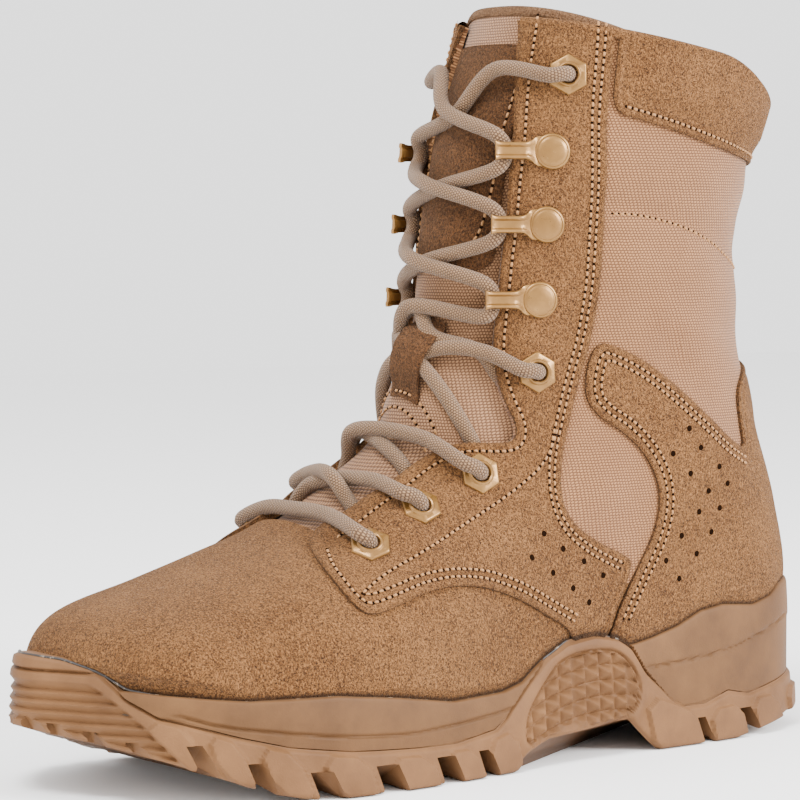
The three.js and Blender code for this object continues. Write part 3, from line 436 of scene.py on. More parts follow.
def grid_faces(rows, columns, around=False):
    """Quads over rows of points, closed around the columns where asked."""
    start = np.arange(rows - 1)[:, None] * columns
    j = np.arange(columns if around else columns - 1)[None]
    after = (j + 1) % columns
    return np.stack([start + j, start + after, start + columns + after, start + columns + j], -1).reshape(-1, 4)


# Materials
REFLECTED = 0.5


def rgb(r, g, b):
    """A tone as it looks in the bright studio light, as the share of light that its surface reflects."""
    return tuple(REFLECTED * ((c / 255 + 0.055) / 1.055) ** 2.4 for c in (r, g, b)) + (1,)


class Paint:
    """A node material, joined up with short calls."""

    def __init__(self, name, settings):
        self.material = bpy.data.materials.new(name)
        self.material.use_nodes = True
        tree = self.material.node_tree
        self.nodes, self.links = tree.nodes, tree.links
        self.shader = next(node for node in self.nodes if node.type == "BSDF_PRINCIPLED")
        for key, value in settings.items():
            self.shader.inputs[key].default_value = value
        self.place = self.node("ShaderNodeTexCoord").outputs["Object"]

    def node(self, kind, inputs=None, **settings):
        node = self.nodes.new(kind)
        for key, value in settings.items():
            setattr(node, key, value)
        for key, value in (inputs or {}).items():
            if isinstance(value, bpy.types.NodeSocket):
                self.links.new(value, node.inputs[key])
            else:
                node.inputs[key].default_value = value
        return node

    def math(self, operation, a, b=0.0):
        return self.node("ShaderNodeMath", {0: a, 1: b}, operation=operation).outputs[0]

    def noise(self, scale, detail=3.0, roughness=0.55, stretch=None):
        place = self.place
        if stretch:
            place = self.node("ShaderNodeMapping", {"Vector": place, "Scale": stretch}).outputs[0]
        return self.node("ShaderNodeTexNoise", {"Vector": place, "Scale": scale, "Detail": detail,
                                                "Roughness": roughness}).outputs[0]

    def ramp(self, value, low, high, first=0.0, last=1.0):
        return self.node("ShaderNodeMapRange", {0: value, 1: low, 2: high, 3: first, 4: last}).outputs[0]

    def mix(self, factor, a, b):
        node = self.node("ShaderNodeMix", {0: factor, 6: a, 7: b}, data_type="RGBA")
        return node.outputs[2]

    def field(self, name):
        return self.node("ShaderNodeAttribute", attribute_name=name).outputs["Fac"]

    def uv(self):
        split = self.node("ShaderNodeSeparateXYZ", {0: self.node("ShaderNodeTexCoord").outputs["UV"]})
        return split.outputs[0], split.outputs[1]

    def bump(self, height, distance, strength=1.0, under=None):
        inputs = {"Height": height, "Distance": distance, "Strength": strength}
        if under is not None:
            inputs["Normal"] = under
        return self.node("ShaderNodeBump", inputs).outputs[0]

    def lumps(self, x, y, width, height, stagger=0.5):
        """Rounded lumps in rows, as threads in a weave: each row is shifted against the last."""
        row = self.math("DIVIDE", y, height)
        parity = self.math("MODULO", self.math("FLOOR", row), 2.0)
        column = self.math("ADD", self.math("DIVIDE", x, width), self.math("MULTIPLY", parity, stagger))
        across = self.math("SINE", self.math("MULTIPLY", self.math("FRACT", column), PI))
        down = self.math("SINE", self.math("MULTIPLY", self.math("FRACT", row), PI))
        return self.math("MULTIPLY", across, down)

    def finish(self, colour, normal, roughness=None):
        self.links.new(colour, self.shader.inputs["Base Color"])
        self.links.new(normal, self.shader.inputs["Normal"])
        if roughness is not None:
            self.links.new(roughness, self.shader.inputs["Roughness"])
        return self.material


def suede(name, light, dark, deep):
    p = Paint(name, {"Roughness": 0.95, "Sheen Weight": 0.08, "Sheen Roughness": 0.5, "Specular IOR Level": 0.08,
                     "Sheen Tint": (1.0, 0.84, 0.64, 1)})
    patches, nap = p.noise(34, 4.0, 0.6), p.noise(150, 4.0, 0.7)
    fibre = p.noise(1300, 3.0, 0.8, (1.0, 0.55, 0.8))
    pile = p.noise(2300, 2.0, 0.7, (1.0, 0.7, 0.8))
    highlight_flecks = p.noise(1700, 2.0, 0.6, (0.8, 1.0, 0.6))
    tone = p.math("ADD", p.math("MULTIPLY", patches, 0.6), p.math("MULTIPLY", nap, 0.4))
    tone = p.math("ADD", tone, p.math("MULTIPLY", fibre, 1.1))
    colour = p.mix(p.ramp(tone, 0.8, 1.28), dark, light)
    colour = p.mix(p.ramp(pile, 0.4, 0.6, 0.85, 0.0), colour, deep)
    # Painted highlights: light flecks over the nap, as if its fibres catch the light
    colour = p.mix(p.ramp(highlight_flecks, 0.5, 0.66, 0.0, 0.8), colour, light)
    colour = p.mix(p.field("shade"), colour, deep)
    normal = p.bump(p.math("ADD", nap, p.math("MULTIPLY", patches, 2.0)), 0.0006, 0.35)
    normal = p.bump(fibre, 0.0016, 0.9, normal)
    normal = p.bump(pile, 0.001, 0.9, normal)
    return p.finish(colour, normal)


def woven(name, light, dark, width, height, soft=0.5):
    """Cloth or cord of threads, each a lump of a width and height in mm."""
    p = Paint(name, {"Roughness": 0.8, "Sheen Weight": 0.15, "Specular IOR Level": 0.25})
    x, y = p.uv()
    wobble = p.math("MULTIPLY", p.math("SUBTRACT", p.noise(260, 2.0), 0.5), 0.5)
    lump = p.lumps(p.math("ADD", x, wobble), p.math("ADD", y, wobble), width, height)
    # Painted shade in the weave: darker where the lumps are low, in the hollows between threads
    colour = p.mix(p.ramp(lump, 0.12, 0.75), dark, light)
    colour = p.mix(p.ramp(p.noise(60, 4.0, 0.7), 0.35, 0.7, 0.0, 0.22), colour, dark)
    colour = p.mix(p.math("MULTIPLY", p.field("shade"), 0.9), colour, rgb(70, 48, 32))
    normal = p.bump(lump, 0.0005, soft)
    normal = p.bump(p.noise(3200, 2.0), 0.0001, 0.4, normal)
    return p.finish(colour, normal)


def rubber(name, light, dark):
    p = Paint(name, {"Roughness": 0.62, "Specular IOR Level": 0.18})
    cloud, grain = p.noise(45, 4.0, 0.6), p.noise(1500, 3.0, 0.6)
    colour = p.mix(p.ramp(cloud, 0.35, 0.7), dark, light)
    colour = p.mix(p.ramp(grain, 0.4, 0.8, 0.12, 0.0), colour, dark)
    colour = p.mix(p.field("shade"), colour, rgb(72, 52, 38))
    return p.finish(colour, p.bump(grain, 0.0002, 0.45), p.ramp(cloud, 0.3, 0.7, 0.55, 0.72))


def grained(name, settings, tone_noise, low, high, tones, bump_noise, bump):
    """Two tones in patches, over a fine bump."""
    p = Paint(name, settings)
    share = p.noise(*tone_noise)
    if low is not None:
        share = p.ramp(share, low, high)
    return p.finish(p.mix(share, *tones), p.bump(p.noise(*bump_noise), *bump))


SUEDE = suede("suede", rgb(204, 142, 86), rgb(128, 80, 42), rgb(58, 33, 17))
DARK_SUEDE = suede("dark_suede", rgb(156, 104, 64), rgb(96, 60, 34), rgb(44, 26, 14))
BINDING_SUEDE = suede("binding", rgb(176, 132, 96), rgb(150, 106, 72), rgb(110, 74, 48))
NYLON = woven("upper_nylon", rgb(212, 150, 96), rgb(116, 70, 34), 1.35, 0.95)
TONGUE_NYLON = woven("tongue_nylon", rgb(212, 158, 112), rgb(112, 72, 44), 1.35, 1.0)
SOCK = woven("insole_fabric", rgb(150, 122, 92), rgb(98, 76, 56), 1.1, 1.1)
LACE = woven("lace_cord", rgb(200, 156, 112), rgb(104, 72, 46), 1.02, 0.8, 0.9)
THREAD = grained("thread", {"Roughness": 0.7, "Sheen Weight": 0.2}, (900,), None, None,
                 (rgb(186, 122, 58), rgb(222, 158, 84)), (2500,), (0.0001, 0.5))
# Near-black tones of the hole spots: painted shade in place of holes cut through the leather
HOLE = grained("stitch_hole", {"Roughness": 0.95, "Specular IOR Level": 0.0}, (700,), None, None,
               (rgb(22, 13, 8), rgb(44, 28, 17)), (2000,), (0.0001, 0.3))
CEMENT = grained("cement", {"Roughness": 0.5}, (300, 4.0, 0.8), 0.56, 0.62,
                 (rgb(48, 38, 32), rgb(170, 150, 128)), (700, 3.0), (0.0004, 0.6))


OUTSOLE_RUBBER = rubber("outsole_rubber", rgb(158, 112, 72), rgb(126, 86, 52))
MIDSOLE_RUBBER = rubber("midsole_rubber", rgb(142, 100, 62), rgb(112, 76, 44))


def brass():
    p = Paint("hardware", {"Roughness": 0.34, "Metallic": 0.6, "Coat Weight": 0.1, "Coat Roughness": 0.25})
    wear = p.ramp(p.noise(420, 4.0, 0.7), 0.62, 0.78)
    colour = p.mix(p.ramp(p.noise(130, 3.0), 0.35, 0.7), rgb(166, 118, 56), rgb(188, 138, 72))
    colour = p.mix(wear, colour, rgb(206, 160, 96))
    gloss = p.ramp(p.noise(300, 3.0), 0.3, 0.7, 0.26, 0.44)
    return p.finish(colour, p.bump(p.noise(900, 3.0), 0.0001, 0.35), gloss)


HARDWARE = brass()

# Floor, in metres
FLOOR_HALF, FLOOR_DROP = 2.5, 0.0002
floor_points = [(x * FLOOR_HALF, y * FLOOR_HALF, -FLOOR_DROP) for x, y in ((-1, -1), (1, -1), (1, 1), (-1, 1))]
floor_paint = Paint("floor", {"Roughness": 0.9, "Base Color": (0.92, 0.92, 0.92, 1)})
floor_bump = floor_paint.bump(floor_paint.noise(300), 0.0001, 0.1)
floor_paint.links.new(floor_bump, floor_paint.shader.inputs["Normal"])
floor_data = bpy.data.meshes.new("floor")
floor_data.from_pydata(floor_points, [], [(0, 1, 2, 3)])
floor_data.materials.append(floor_paint.material)
floor = bpy.data.objects.new("floor", floor_data)
bpy.context.scene.collection.objects.link(floor)

# The sole's form: share of the length, then the lateral and medial half widths as shares of the ball's width
OUTLINE = np.array([
    [0, 0, 0], [0.01, 0.127, -0.127], [0.032, 0.223, -0.223], [0.08, 0.309, -0.3],
    [0.16, 0.359, -0.345], [0.256, 0.382, -0.35], [0.353, 0.4, -0.335], [0.449, 0.427, -0.35],
    [0.545, 0.473, -0.405], [0.641, 0.509, -0.45], [0.721, 0.518, -0.477], [0.785, 0.495, -0.48],
    [0.833, 0.459, -0.468], [0.881, 0.407, -0.445], [0.913, 0.341, -0.416], [0.936, 0.268, -0.382],
    [0.962, 0.145, -0.316], [0.981, 0.036, -0.241], [1, -0.109, -0.109],
])
# Heights round the sole, as shares of the length and of the heel's seat
TREAD = np.array([
    [0, 0.25], [0.03, 0.18], [0.08, 0.11], [0.16, 0], [0.285, 0], [0.3, 0.1], [0.33, 0.33],
    [0.45, 0.25], [0.485, 0.15], [0.505, 0], [0.77, 0], [0.82, 0.08], [0.87, 0.24], [0.92, 0.39],
    [0.96, 0.5], [1, 0.6],
])
RIM = np.array([
    [0, 1.5], [0.064, 1.44], [0.087, 1.34], [0.122, 1.28], [0.176, 1.32], [0.212, 1.28],
    [0.25, 1.15], [0.288, 1.07], [0.321, 1.02], [0.34, 1.11], [0.375, 1.17], [0.417, 1.13],
    [0.449, 1], [0.484, 0.8], [0.513, 0.74], [0.59, 0.72], [0.667, 0.82], [0.744, 0.89],
    [0.84, 0.89], [0.923, 0.96], [0.945, 1.0], [0.962, 1.14], [0.981, 1.23], [1, 1.25],
])
SHELL = np.concatenate([
    [[0, 0.58], [0.032, 0.54], [0.09, 0.47], [0.135, 0.41], [0.17, 0.47], [0.208, 0.37], [0.244, 0.37],
     [0.263, 0.46], [0.282, 0.61], [0.304, 0.79]],
    RIM[8:13],
    [[0.484, 0.74], [0.501, 0.61], [0.513, 0.5], [0.53, 0.41], [0.59, 0.34], [0.644, 0.35], [0.73, 0.39],
     [0.8, 0.47], [0.85, 0.58], [0.885, 0.67], [0.923, 0.77], [0.945, 0.92]],
    RIM[-3:]])
BLOCK = np.concatenate([
    SHELL[:7], [[0.282, 0.5], [0.333, 0.5], [0.449, 0.42], [0.53, 0.39]], SHELL[19:25], [[0.93, 0.78], [1, 0.86]]])
CUSHION = np.concatenate([RIM[RIM[:, 0] < 0.93], [[0.94, 0.98], [1, 0.98]]])
LUG_GAPS = [(0.136, 6), (0.211, 5), (0.545, 4.5), (0.602, 7), (0.682, 8), (0.760, 7), (0.829, 5), (0.885, 5)]
GAP_SLANT = 0.45


def angle_of(share):
    return np.arccos(np.clip(1 - 2 * share, -1, 1))


def edge_x(share, column):
    """The sole's half outline: a Hermite curve through its table, even at its round ends."""
    xs, ys = angle_of(OUTLINE[:, 0]), OUTLINE[:, column]
    slopes = np.empty(len(xs))
    slopes[1:-1] = (ys[2:] - ys[:-2]) / (xs[2:] - xs[:-2])
    slopes[0] = (ys[1] - ys[0]) / (xs[1] - xs[0])
    slopes[-1] = (ys[-1] - ys[-2]) / (xs[-1] - xs[-2])
    x = angle_of(share)
    k = np.clip(np.searchsorted(xs, x, side="right") - 1, 0, len(xs) - 2)
    h = xs[k + 1] - xs[k]
    t = np.clip((x - xs[k]) / h, 0, 1)
    blend = 3 * t ** 2 - 2 * t ** 3
    y = ((1 - blend) * ys[k] + (t ** 3 - 2 * t ** 2 + t) * h * slopes[k]
         + blend * ys[k + 1] + (t ** 3 - t ** 2) * h * slopes[k + 1])
    return BALL_WIDTH * y - SOLE_MIDDLE


def soften(values, reach):
    kernel = np.exp(-np.linspace(-2, 2, 2 * reach + 1) ** 2)
    padded = np.pad(values, reach, mode="edge")
    return np.convolve(padded, kernel / kernel.sum(), mode="valid")


FINE = np.linspace(0, 1, 1201)


def height_of(table, share, reach=6):
    """A height table over the sole, with its corners a little rounded, in mm."""
    return HEEL_SEAT * np.interp(share, FINE, soften(np.interp(FINE, table[:, 0], table[:, 1]), reach))


def sole_edge(count):
    """Even points round the sole from the heel along the lateral side to the toe and back."""
    dense = np.linspace(0, PI, 1500)
    share = (1 - np.cos(dense)) / 2
    lateral, medial = (np.column_stack([edge_x(share, column), LENGTH / 2 - LENGTH * share, share,
                                        np.full(len(share), side)]) for column, side in ((1, 1), (2, -1)))
    path = np.concatenate([lateral, medial[-2:0:-1], lateral[:1]])
    place = run_of(path[:, :2])
    at = np.linspace(0, place[-1], count, endpoint=False)
    even = np.stack([np.interp(at, place, path[:, k]) for k in range(4)], 1)
    tangent = np.roll(even[:, :2], -2, 0) - np.roll(even[:, :2], 2, 0)
    out = unit(np.stack([-tangent[:, 1], tangent[:, 0]], 1))
    return even, out


AROUND, SHARP = 980, 38
EDGE, OUT = sole_edge(AROUND)
SHARE = EDGE[:, 2]


def box_faces(n):
    return [[n + k for k in face] for face in (
        (0, 1, 2, 3), (7, 6, 5, 4), (0, 4, 5, 1), (1, 5, 6, 2), (2, 6, 7, 3), (3, 7, 4, 0))]


def carve(piece, cutters):
    """Takes boxes, each of eight corners, out of a piece."""
    data = bpy.data.meshes.new(piece.name + "_cuts")
    data.from_pydata([tuple(corner) for box in cutters for corner in np.array(box) * MM], [],
                     [face for k in range(len(cutters)) for face in box_faces(8 * k)])
    mend = bmesh.new()
    mend.from_mesh(data)
    bmesh.ops.recalc_face_normals(mend, faces=mend.faces)
    mend.to_mesh(data)
    tool = bpy.data.objects.new(data.name, data)
    bpy.context.scene.collection.objects.link(tool)
    shape = piece.modifiers.new("gaps", "BOOLEAN")
    shape.operation, shape.solver, shape.object = "DIFFERENCE", "MANIFOLD", tool
    evaluated = piece.evaluated_get(bpy.context.evaluated_depsgraph_get())
    piece.data = bpy.data.meshes.new_from_object(evaluated)
    piece.modifiers.clear()
    bpy.data.objects.remove(tool)


def sole_body(name, insets, heights, detail, material, nodes, cutters=()):
    """A closed body of rings round the sole; detail moves its wall out or in by side view place."""
    rings = []
    for depth, height in zip(insets, heights):
        depth = depth - detail(LENGTH * SHARE, height)
        rings.append(np.column_stack([EDGE[:, :2] - OUT * depth[:, None], height]))
    faces = grid_faces(len(rings), AROUND, around=True).tolist()
    last = (len(rings) - 1) * AROUND
    faces += [list(range(AROUND))[::-1], [last + k for k in range(AROUND)]]
    data = bpy.data.meshes.new(name)
    data.from_pydata((np.concatenate(rings) * MM).tolist(), [], faces)
    piece = bpy.data.objects.new(name, data)
    bpy.context.scene.collection.objects.link(piece)
    if cutters:
        carve(piece, cutters)
    piece.data.materials.clear()
    piece.data.materials.append(material)
    piece.data.shade_smooth()
    piece.data.set_sharp_from_angle(angle=math.radians(SHARP))
    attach(piece, "root")
    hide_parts(*nodes)


# Side view places in mm from the heel: the toe's ribs, and the pads and grooves of the side
TOE_FROM, TOE_FULL, TOE_SLANT, RIB_TOP, RIB_PITCH, RIB_DEPTH = 289.5, 291.5, 0.83, 36.5, 3.2, 1.7
GRIP_PITCH, GRIP_DROP, GRIP_ARCH, GRIP_DEPTH = 6.4, 5.2, 0.006, 3.4
LUGS = [
    [(290, 27), (287, 15), (277, 9), (280, 24)], [(275, 22.5), (272, 11), (260, 3), (266, 19)],
    [(260, 18), (255, 4), (241, -1), (248, 15)], [(240, 14), (233, 0), (218, -3), (223, 12)],
    [(215, 11), (208, -3), (192, -3), (197, 10)], [(190, 10), (184, -3), (171, -3), (177, 10)],
    [(171, 11), (167, -3), (154, -3), (158, 14)], [(96, 20), (90, -3), (66, -3), (69, 10.5)],
    [(64, 11), (61, -3), (44, -3), (48, 12)], [(42, 13), (38, -2), (22, 0), (27, 13)],
    [(18, 14), (14, 0), (2, 2), (5, 15)]]
ARCH_PANEL = smooth_line([
    (152, 8), (151, 17), (146, 23), (140, 29), (134, 34), (125, 36), (113, 36), (108, 35), (103, 32), (99, 27),
    (98, 22), (99.5, 17), (104, 13), (110, 12), (120, 12), (131, 12), (142, 10)], 2, True)
FOREPART_GROOVE = np.array([
    (282, 28), (274, 25.4), (266, 23.7), (252, 21.7), (236, 19.6), (228, 18.9), (212, 17.8), (201, 17.5),
    (181, 18.6), (166, 19.9), (156, 21.2)], float)[::-1]
HEEL_GROOVE = np.array([(17, 40), (25, 38), (36, 35), (49, 32), (65, 30), (79, 29), (92, 28.5)], float)


def toe_ribs(a, z):
    """The stepped ribs across the toe, and the slit above them."""
    tread = height_of(TREAD, SHARE)
    wave = ((RIB_TOP - z) / RIB_PITCH) % 1
    ribs = -RIB_DEPTH * np.where(wave < 0.72, wave / 0.72, (1 - wave) / 0.28) * step_in(z, tread + 1, tread + 2)
    ribs = ribs * (1 - step_in(z, RIB_TOP - 0.2, RIB_TOP + 0.2))
    ledge = 0.7 * (1 - step_in(z, RIB_TOP - 0.2, RIB_TOP + 0.8))
    return ribs - ledge, 1.8 * bell(z, RIB_TOP + 3.6, 0.55) * step_in(a, 299, 301)


def outsole_detail(a, z):
    flat = np.stack([a, z], 1)
    toe = step_in(a - TOE_SLANT * (z - 24), TOE_FROM, TOE_FULL)
    ribs, slit = toe_ribs(a, z)
    total = toe * ribs - slit
    panel = inside_distance(flat, ARCH_PANEL)
    frame_line = 0.7 * bell(panel, -2.6, 2.2) - 1.1 * bell(panel, -0.5, 0.5)
    across, down = (a / GRIP_PITCH) % 1 - 0.5, ((z + GRIP_ARCH * (a - 114) ** 2) / GRIP_DROP) % 1 - 0.5
    tip = 1 - 2 * np.maximum(np.abs(across), np.abs(down))
    total += np.where(panel > 0, (GRIP_DEPTH * tip - 1.9) * step_in(panel, 0, 0.5), frame_line)
    lugs = np.max([inside_distance(flat, smooth_line(lug, 1, True)) for lug in LUGS], 0)
    total += 1.5 * step_in(lugs, -0.7, 0.3) * (1 - toe)
    return total - 0.8 * step_in(z, outsole_top - 1.6, outsole_top)


def midsole_detail(a, z):
    """Two grooves, and a step inwards below each."""
    total = 0
    for line, here, step in (
            (FOREPART_GROOVE, step_in(a, 154, 160) * (1 - step_in(a, 280, 286)), 0.5 * step_in(a, 154, 160)),
            (HEEL_GROOVE, step_in(a, 8, 14) * (1 - step_in(a, 90, 96)), 0.4 * (1 - step_in(a, 90, 96)))):
        groove = np.interp(a, *line.T)
        total = total - 1.1 * bell(z, groove, 0.6) * here - step * step_in(groove - z, 0, 1.5)
    return total


def tread_at(share):
    return HEEL_SEAT * float(np.interp(share, TREAD[:, 0], TREAD[:, 1]))


def lug_gap(at, width, side, reach=24.0, rise_to=LUG_HEIGHT):
    """A leaning gap between two lugs, open outwards and below."""
    edge = float(edge_x(np.array([at]), 1 if side > 0 else 2)[0])
    low, high = tread_at(at) - 3, tread_at(at) + rise_to
    lean = GAP_SLANT * (high - low) / 2
    y = LENGTH / 2 - LENGTH * at
    ends = sorted([edge + side * 9, edge - side * reach])
    half, flare = width / 2, 0.8
    return [(x, y + dy, z) for x in ends for dy, z in (
        (-half - flare + lean, low), (half + flare + lean, low), (half - lean, high), (-half - lean, high))]


def tread_groove(at0, x0, at1, x1, width, depth=5.0):
    """A groove in the tread between two places, open below."""
    start = np.array([x0, LENGTH / 2 - LENGTH * at0])
    end = np.array([x1, LENGTH / 2 - LENGTH * at1])
    side = unit((end - start)[None])[0][::-1] * np.array([-1, 1]) * width / 2
    box = []
    for place, tread in ((start, tread_at(at0)), (end, tread_at(at1))):
        for shift, z in ((-1.25, tread - 3), (1.25, tread - 3), (0.8, tread + depth), (-0.8, tread + depth)):
            box.append((place[0] + side[0] * shift, place[1] + side[1] * shift, z))
    return box


tread_line = height_of(TREAD, SHARE)
outsole_top = np.maximum(height_of(SHELL, SHARE), tread_line + LUG_HEIGHT)
rim_line = height_of(RIM, SHARE)
shell_lean = SOLE_LEDGE * np.minimum(1, 0.3 + 1.4 * np.maximum(0, outsole_top / rim_line - 0.5))
steps = np.concatenate([[0, 0.03, 0.06], np.linspace(0.1, 0.95, 66), [0.975, 1.0]])
TREAD_ROUND, WALL_LEAN = (1.6, 0.5, 0.1), 0.8
outsole_insets = [inset + 0 * SHARE for inset in TREAD_ROUND]
outsole_insets += [shell_lean * (WALL_LEAN * s * s if s < 0.97 else 1.0) for s in steps[len(TREAD_ROUND):]]
outsole_heights = [tread_line + (outsole_top - tread_line) * s for s in steps]
SOLE_CUTS, HEEL_CUTS, TOE_CUTS = (0.575, 0.642, 0.721, 0.795), (0.1, 0.175), (0.93, 0.955, 0.975, 0.989)
cuts = [lug_gap(at, width, side) for at, width in LUG_GAPS for side in (1, -1)]
cuts += [tread_groove(at - 0.028, -14, at + 0.028, 8, 4.0) for at in SOLE_CUTS]
cuts += [tread_groove(at, -11, at, 11, 3.5) for at in HEEL_CUTS]
cuts += [lug_gap(at, 2.6, side, 9.0, 4.5) for side in (1, -1) for at in TOE_CUTS]
sole_body("outsole_skin", outsole_insets, outsole_heights, outsole_detail, OUTSOLE_RUBBER,
          ["outsole"], cuts)

block_line, cushion_line = height_of(BLOCK, SHARE), height_of(CUSHION, SHARE)
# The midsole stands in a little from the edge, and more round the toe and behind the outsole's wall
MID_INSET, TOE_INSET, HIDDEN_INSET, MID_LEAN = 1.5, 9.0, 3.6, 0.7
MID_TOP = [(0.94, 0), (0.97, 0.1), (0.99, 0.35), (1.0, 0.9), (1.0, 3.6)]
mid_inset = MID_INSET + TOE_INSET * step_in(SHARE, 0.945, 0.99)
mid_insets, mid_heights = [], []
for s, rounding in [(s, 0) for s in np.linspace(0, 0.9, 34)] + MID_TOP:
    height = block_line + SEAT + (cushion_line - block_line - SEAT) * s
    hidden = HIDDEN_INSET * step_in(outsole_top - height, -0.3, 0.5)
    mid_insets.append(mid_inset + MID_LEAN * max(0.0, (s - 0.5) * 2) ** 1.6 + hidden + rounding)
    mid_heights.append(height)
sole_body("midsole_skin", mid_insets, mid_heights, midsole_detail, MIDSOLE_RUBBER,
          ["midsole"])

CEMENT_SIDES, CEMENT_RADIUS = 7, 0.5
cement_depth = TUCK - 0.4 + 0.35 * np.sin(SHARE * 90) * np.cos(SHARE * 37)
turn = np.arange(CEMENT_SIDES) * 2 * PI / CEMENT_SIDES
depths = cement_depth[:, None] + CEMENT_RADIUS * np.cos(turn)
cement_rings = np.concatenate([EDGE[:, None, :2] - OUT[:, None] * depths[..., None],
                               (rim_line[:, None] - 0.4 + CEMENT_RADIUS * np.sin(turn))[..., None]], -1)
cement_rings = np.concatenate([cement_rings, cement_rings[:1]])
build("cement_line", cement_rings.reshape(-1, 3), tri(grid_faces(len(cement_rings), CEMENT_SIDES, around=True)),
      CEMENT)

# The upper: a shell, a lining and panels laid over it
UV_START = np.array([400, 20])
THROAT_LINE = outline(THROAT_EDGE, 2, closed=False)
QUARTER_TOP = [[0.39, 2.165], [0.405, 2.155], [0.4125, 2.115]]
QUARTER = outline(THROAT_EDGE + QUARTER_FRONT + QUARTER_REAR + QUARTER_TOP)
COUNTER_LINE, CUFF_LINE = outline(COUNTER), outline(CUFF)
THROAT = np.concatenate([[[THROAT_LINE[0, 0] - 3, 290]], THROAT_LINE, [[213, 130], [290, 130], [290, 290]]])
SOLE_LINE = np.stack([LENGTH * RIM[:, 0], HEEL_SEAT * RIM[:, 1]], 1)


def stations(toe, foot, shaft):
    """Stations from the tip of the toe to the collar, so many in each part, closest at the tip."""
    bend = np.sin(np.linspace(-PI / 2, 0, toe))
    return np.concatenate([bend * 0.9995, np.linspace(0, 8, foot)[1:], np.linspace(8, COLLAR, shaft)[1:]])


def girth_table(side, stations_count=80, turns_count=60):
    """Lengths round the form from its front ridge, by station and girth."""
    line = form(np.linspace(0, COLLAR, stations_count)[:, None], np.linspace(0, 1, turns_count)[None] * side)
    step = np.linalg.norm(np.diff(line, axis=1), axis=2)
    return np.concatenate([np.zeros((stations_count, 1)), np.cumsum(step, 1)], 1)


GIRTHS = {side: girth_table(side) for side in (1, -1)}


def girth_uv(places):
    """Width in mm round the boot from its front, and height in mm, for a weave."""
    rows, columns = GIRTHS[1].shape
    v = np.clip(places[:, 0], 0, COLLAR - 1e-6) / COLLAR * (rows - 1)
    u = np.clip(np.abs(places[:, 1]), 0, 1 - 1e-6) * (columns - 1)
    i, j = v.astype(int), u.astype(int)
    fv, fu = v - i, u - j
    width = np.zeros(len(places))
    for side, table in GIRTHS.items():
        value = ((table[i, j] * (1 - fu) + table[i, j + 1] * fu) * (1 - fv)
                 + (table[i + 1, j] * (1 - fu) + table[i + 1, j + 1] * fu) * fv)
        width = np.where(places[:, 1] * side >= 0, value * side, width)
    return np.stack([width, form(places[:, 0], places[:, 1])[:, 2]], 1) + UV_START


def sole_shade(points):
    """Dark where the upper meets the sole."""
    flat = side_view(points)
    rim = np.interp(flat[:, 0], SOLE_LINE[:, 0], SOLE_LINE[:, 1])
    return 0.85 * np.clip(1 - (flat[:, 1] - rim - 0.6) / 1.1, 0, 1)


def skin(name, faces, places, heights, material, nodes, depth, shade=0.0):
    """A panel laid on the form at heights above it, closed by a rim down to depth."""
    places, faces = keep(places, faces)
    v, u = places.T
    height, tone = heights(places)
    top = surface(v, u, height)
    edges = rim_edges(faces)
    ring, back = np.unique(edges, return_inverse=True)
    under = surface(v[ring], u[ring], np.full(len(ring), depth))
    back = back.reshape(-1, 2) + len(places)
    points = np.concatenate([top, under, top[ring]])
    tones = np.concatenate([tone, np.full(len(ring) * 2, shade)]) + sole_shade(points)
    uv = girth_uv(np.concatenate([places, places[ring], places[ring]]))
    return build(name, points, np.concatenate([faces, walls(back + len(ring), back)]), material, nodes,
                 {"shade": np.clip(tones, 0, 1)}, uv)


def region(polygon, vs, us, levels=()):
    """The part of a grid inside an outline, split along even distances from it."""
    places, faces = grid(vs, us)
    near = in_outline(places, polygon)[faces].max(1) > -8
    places, faces = keep(places, faces[near])
    places, faces, sides = cut(places, faces, in_outline(places, polygon))
    places, faces = keep(places, faces[sides])
    values = in_outline(places, polygon)
    for level in levels:
        n = len(places)
        places, faces, _ = cut(places, faces, values - level)
        values = np.concatenate([values, np.full(len(places) - n, level)])
    return places, faces, np.maximum(values, 0)


EDGE_LEVELS, SEAM_INSETS = (0.8, 2.0, 2.9, 3.8), (2.9, 5.2)
PANEL_DEPTH, PANEL_SHADE = -0.6, 0.5


def panel_heights(distance, pad):
    """Heights and shade of a panel by the distance from its cut edge, with a furrow for the seam."""
    height = PANEL - 0.45 * (1 - step_in(distance, 0, 0.8)) - 0.35 * bell(distance, SEAM_INSETS[0], 0.9)
    shade = 0.25 * (1 - step_in(distance, 0.0, 1.4)) + 0.16 * bell(distance, SEAM_INSETS[0], 0.8)
    return height + pad * step_in(distance, 4, 14), shade


def panel(node, polygon, vs, us, pad=0.0):
    """A suede panel inside an outline, for one node."""
    places, faces, distance = region(polygon, vs, us, EDGE_LEVELS)
    values = dict(zip(map(tuple, np.round(places, 9)), distance))
    return skin(node + "_skin", faces, places,
                lambda p: panel_heights(np.array([values[tuple(k)] for k in np.round(p, 9)]), pad),
                SUEDE, [node], PANEL_DEPTH, PANEL_SHADE)


# Shell and lining
VAMP_BACK = np.array([[118, 58], [60, 58], [-20, 90], [-20, 260], [160, 260], [160, 100]], float)


def throat_field(places):
    return -in_outline(places, THROAT)


def shell_heights(places):
    return np.zeros(len(places)), np.zeros(len(places))


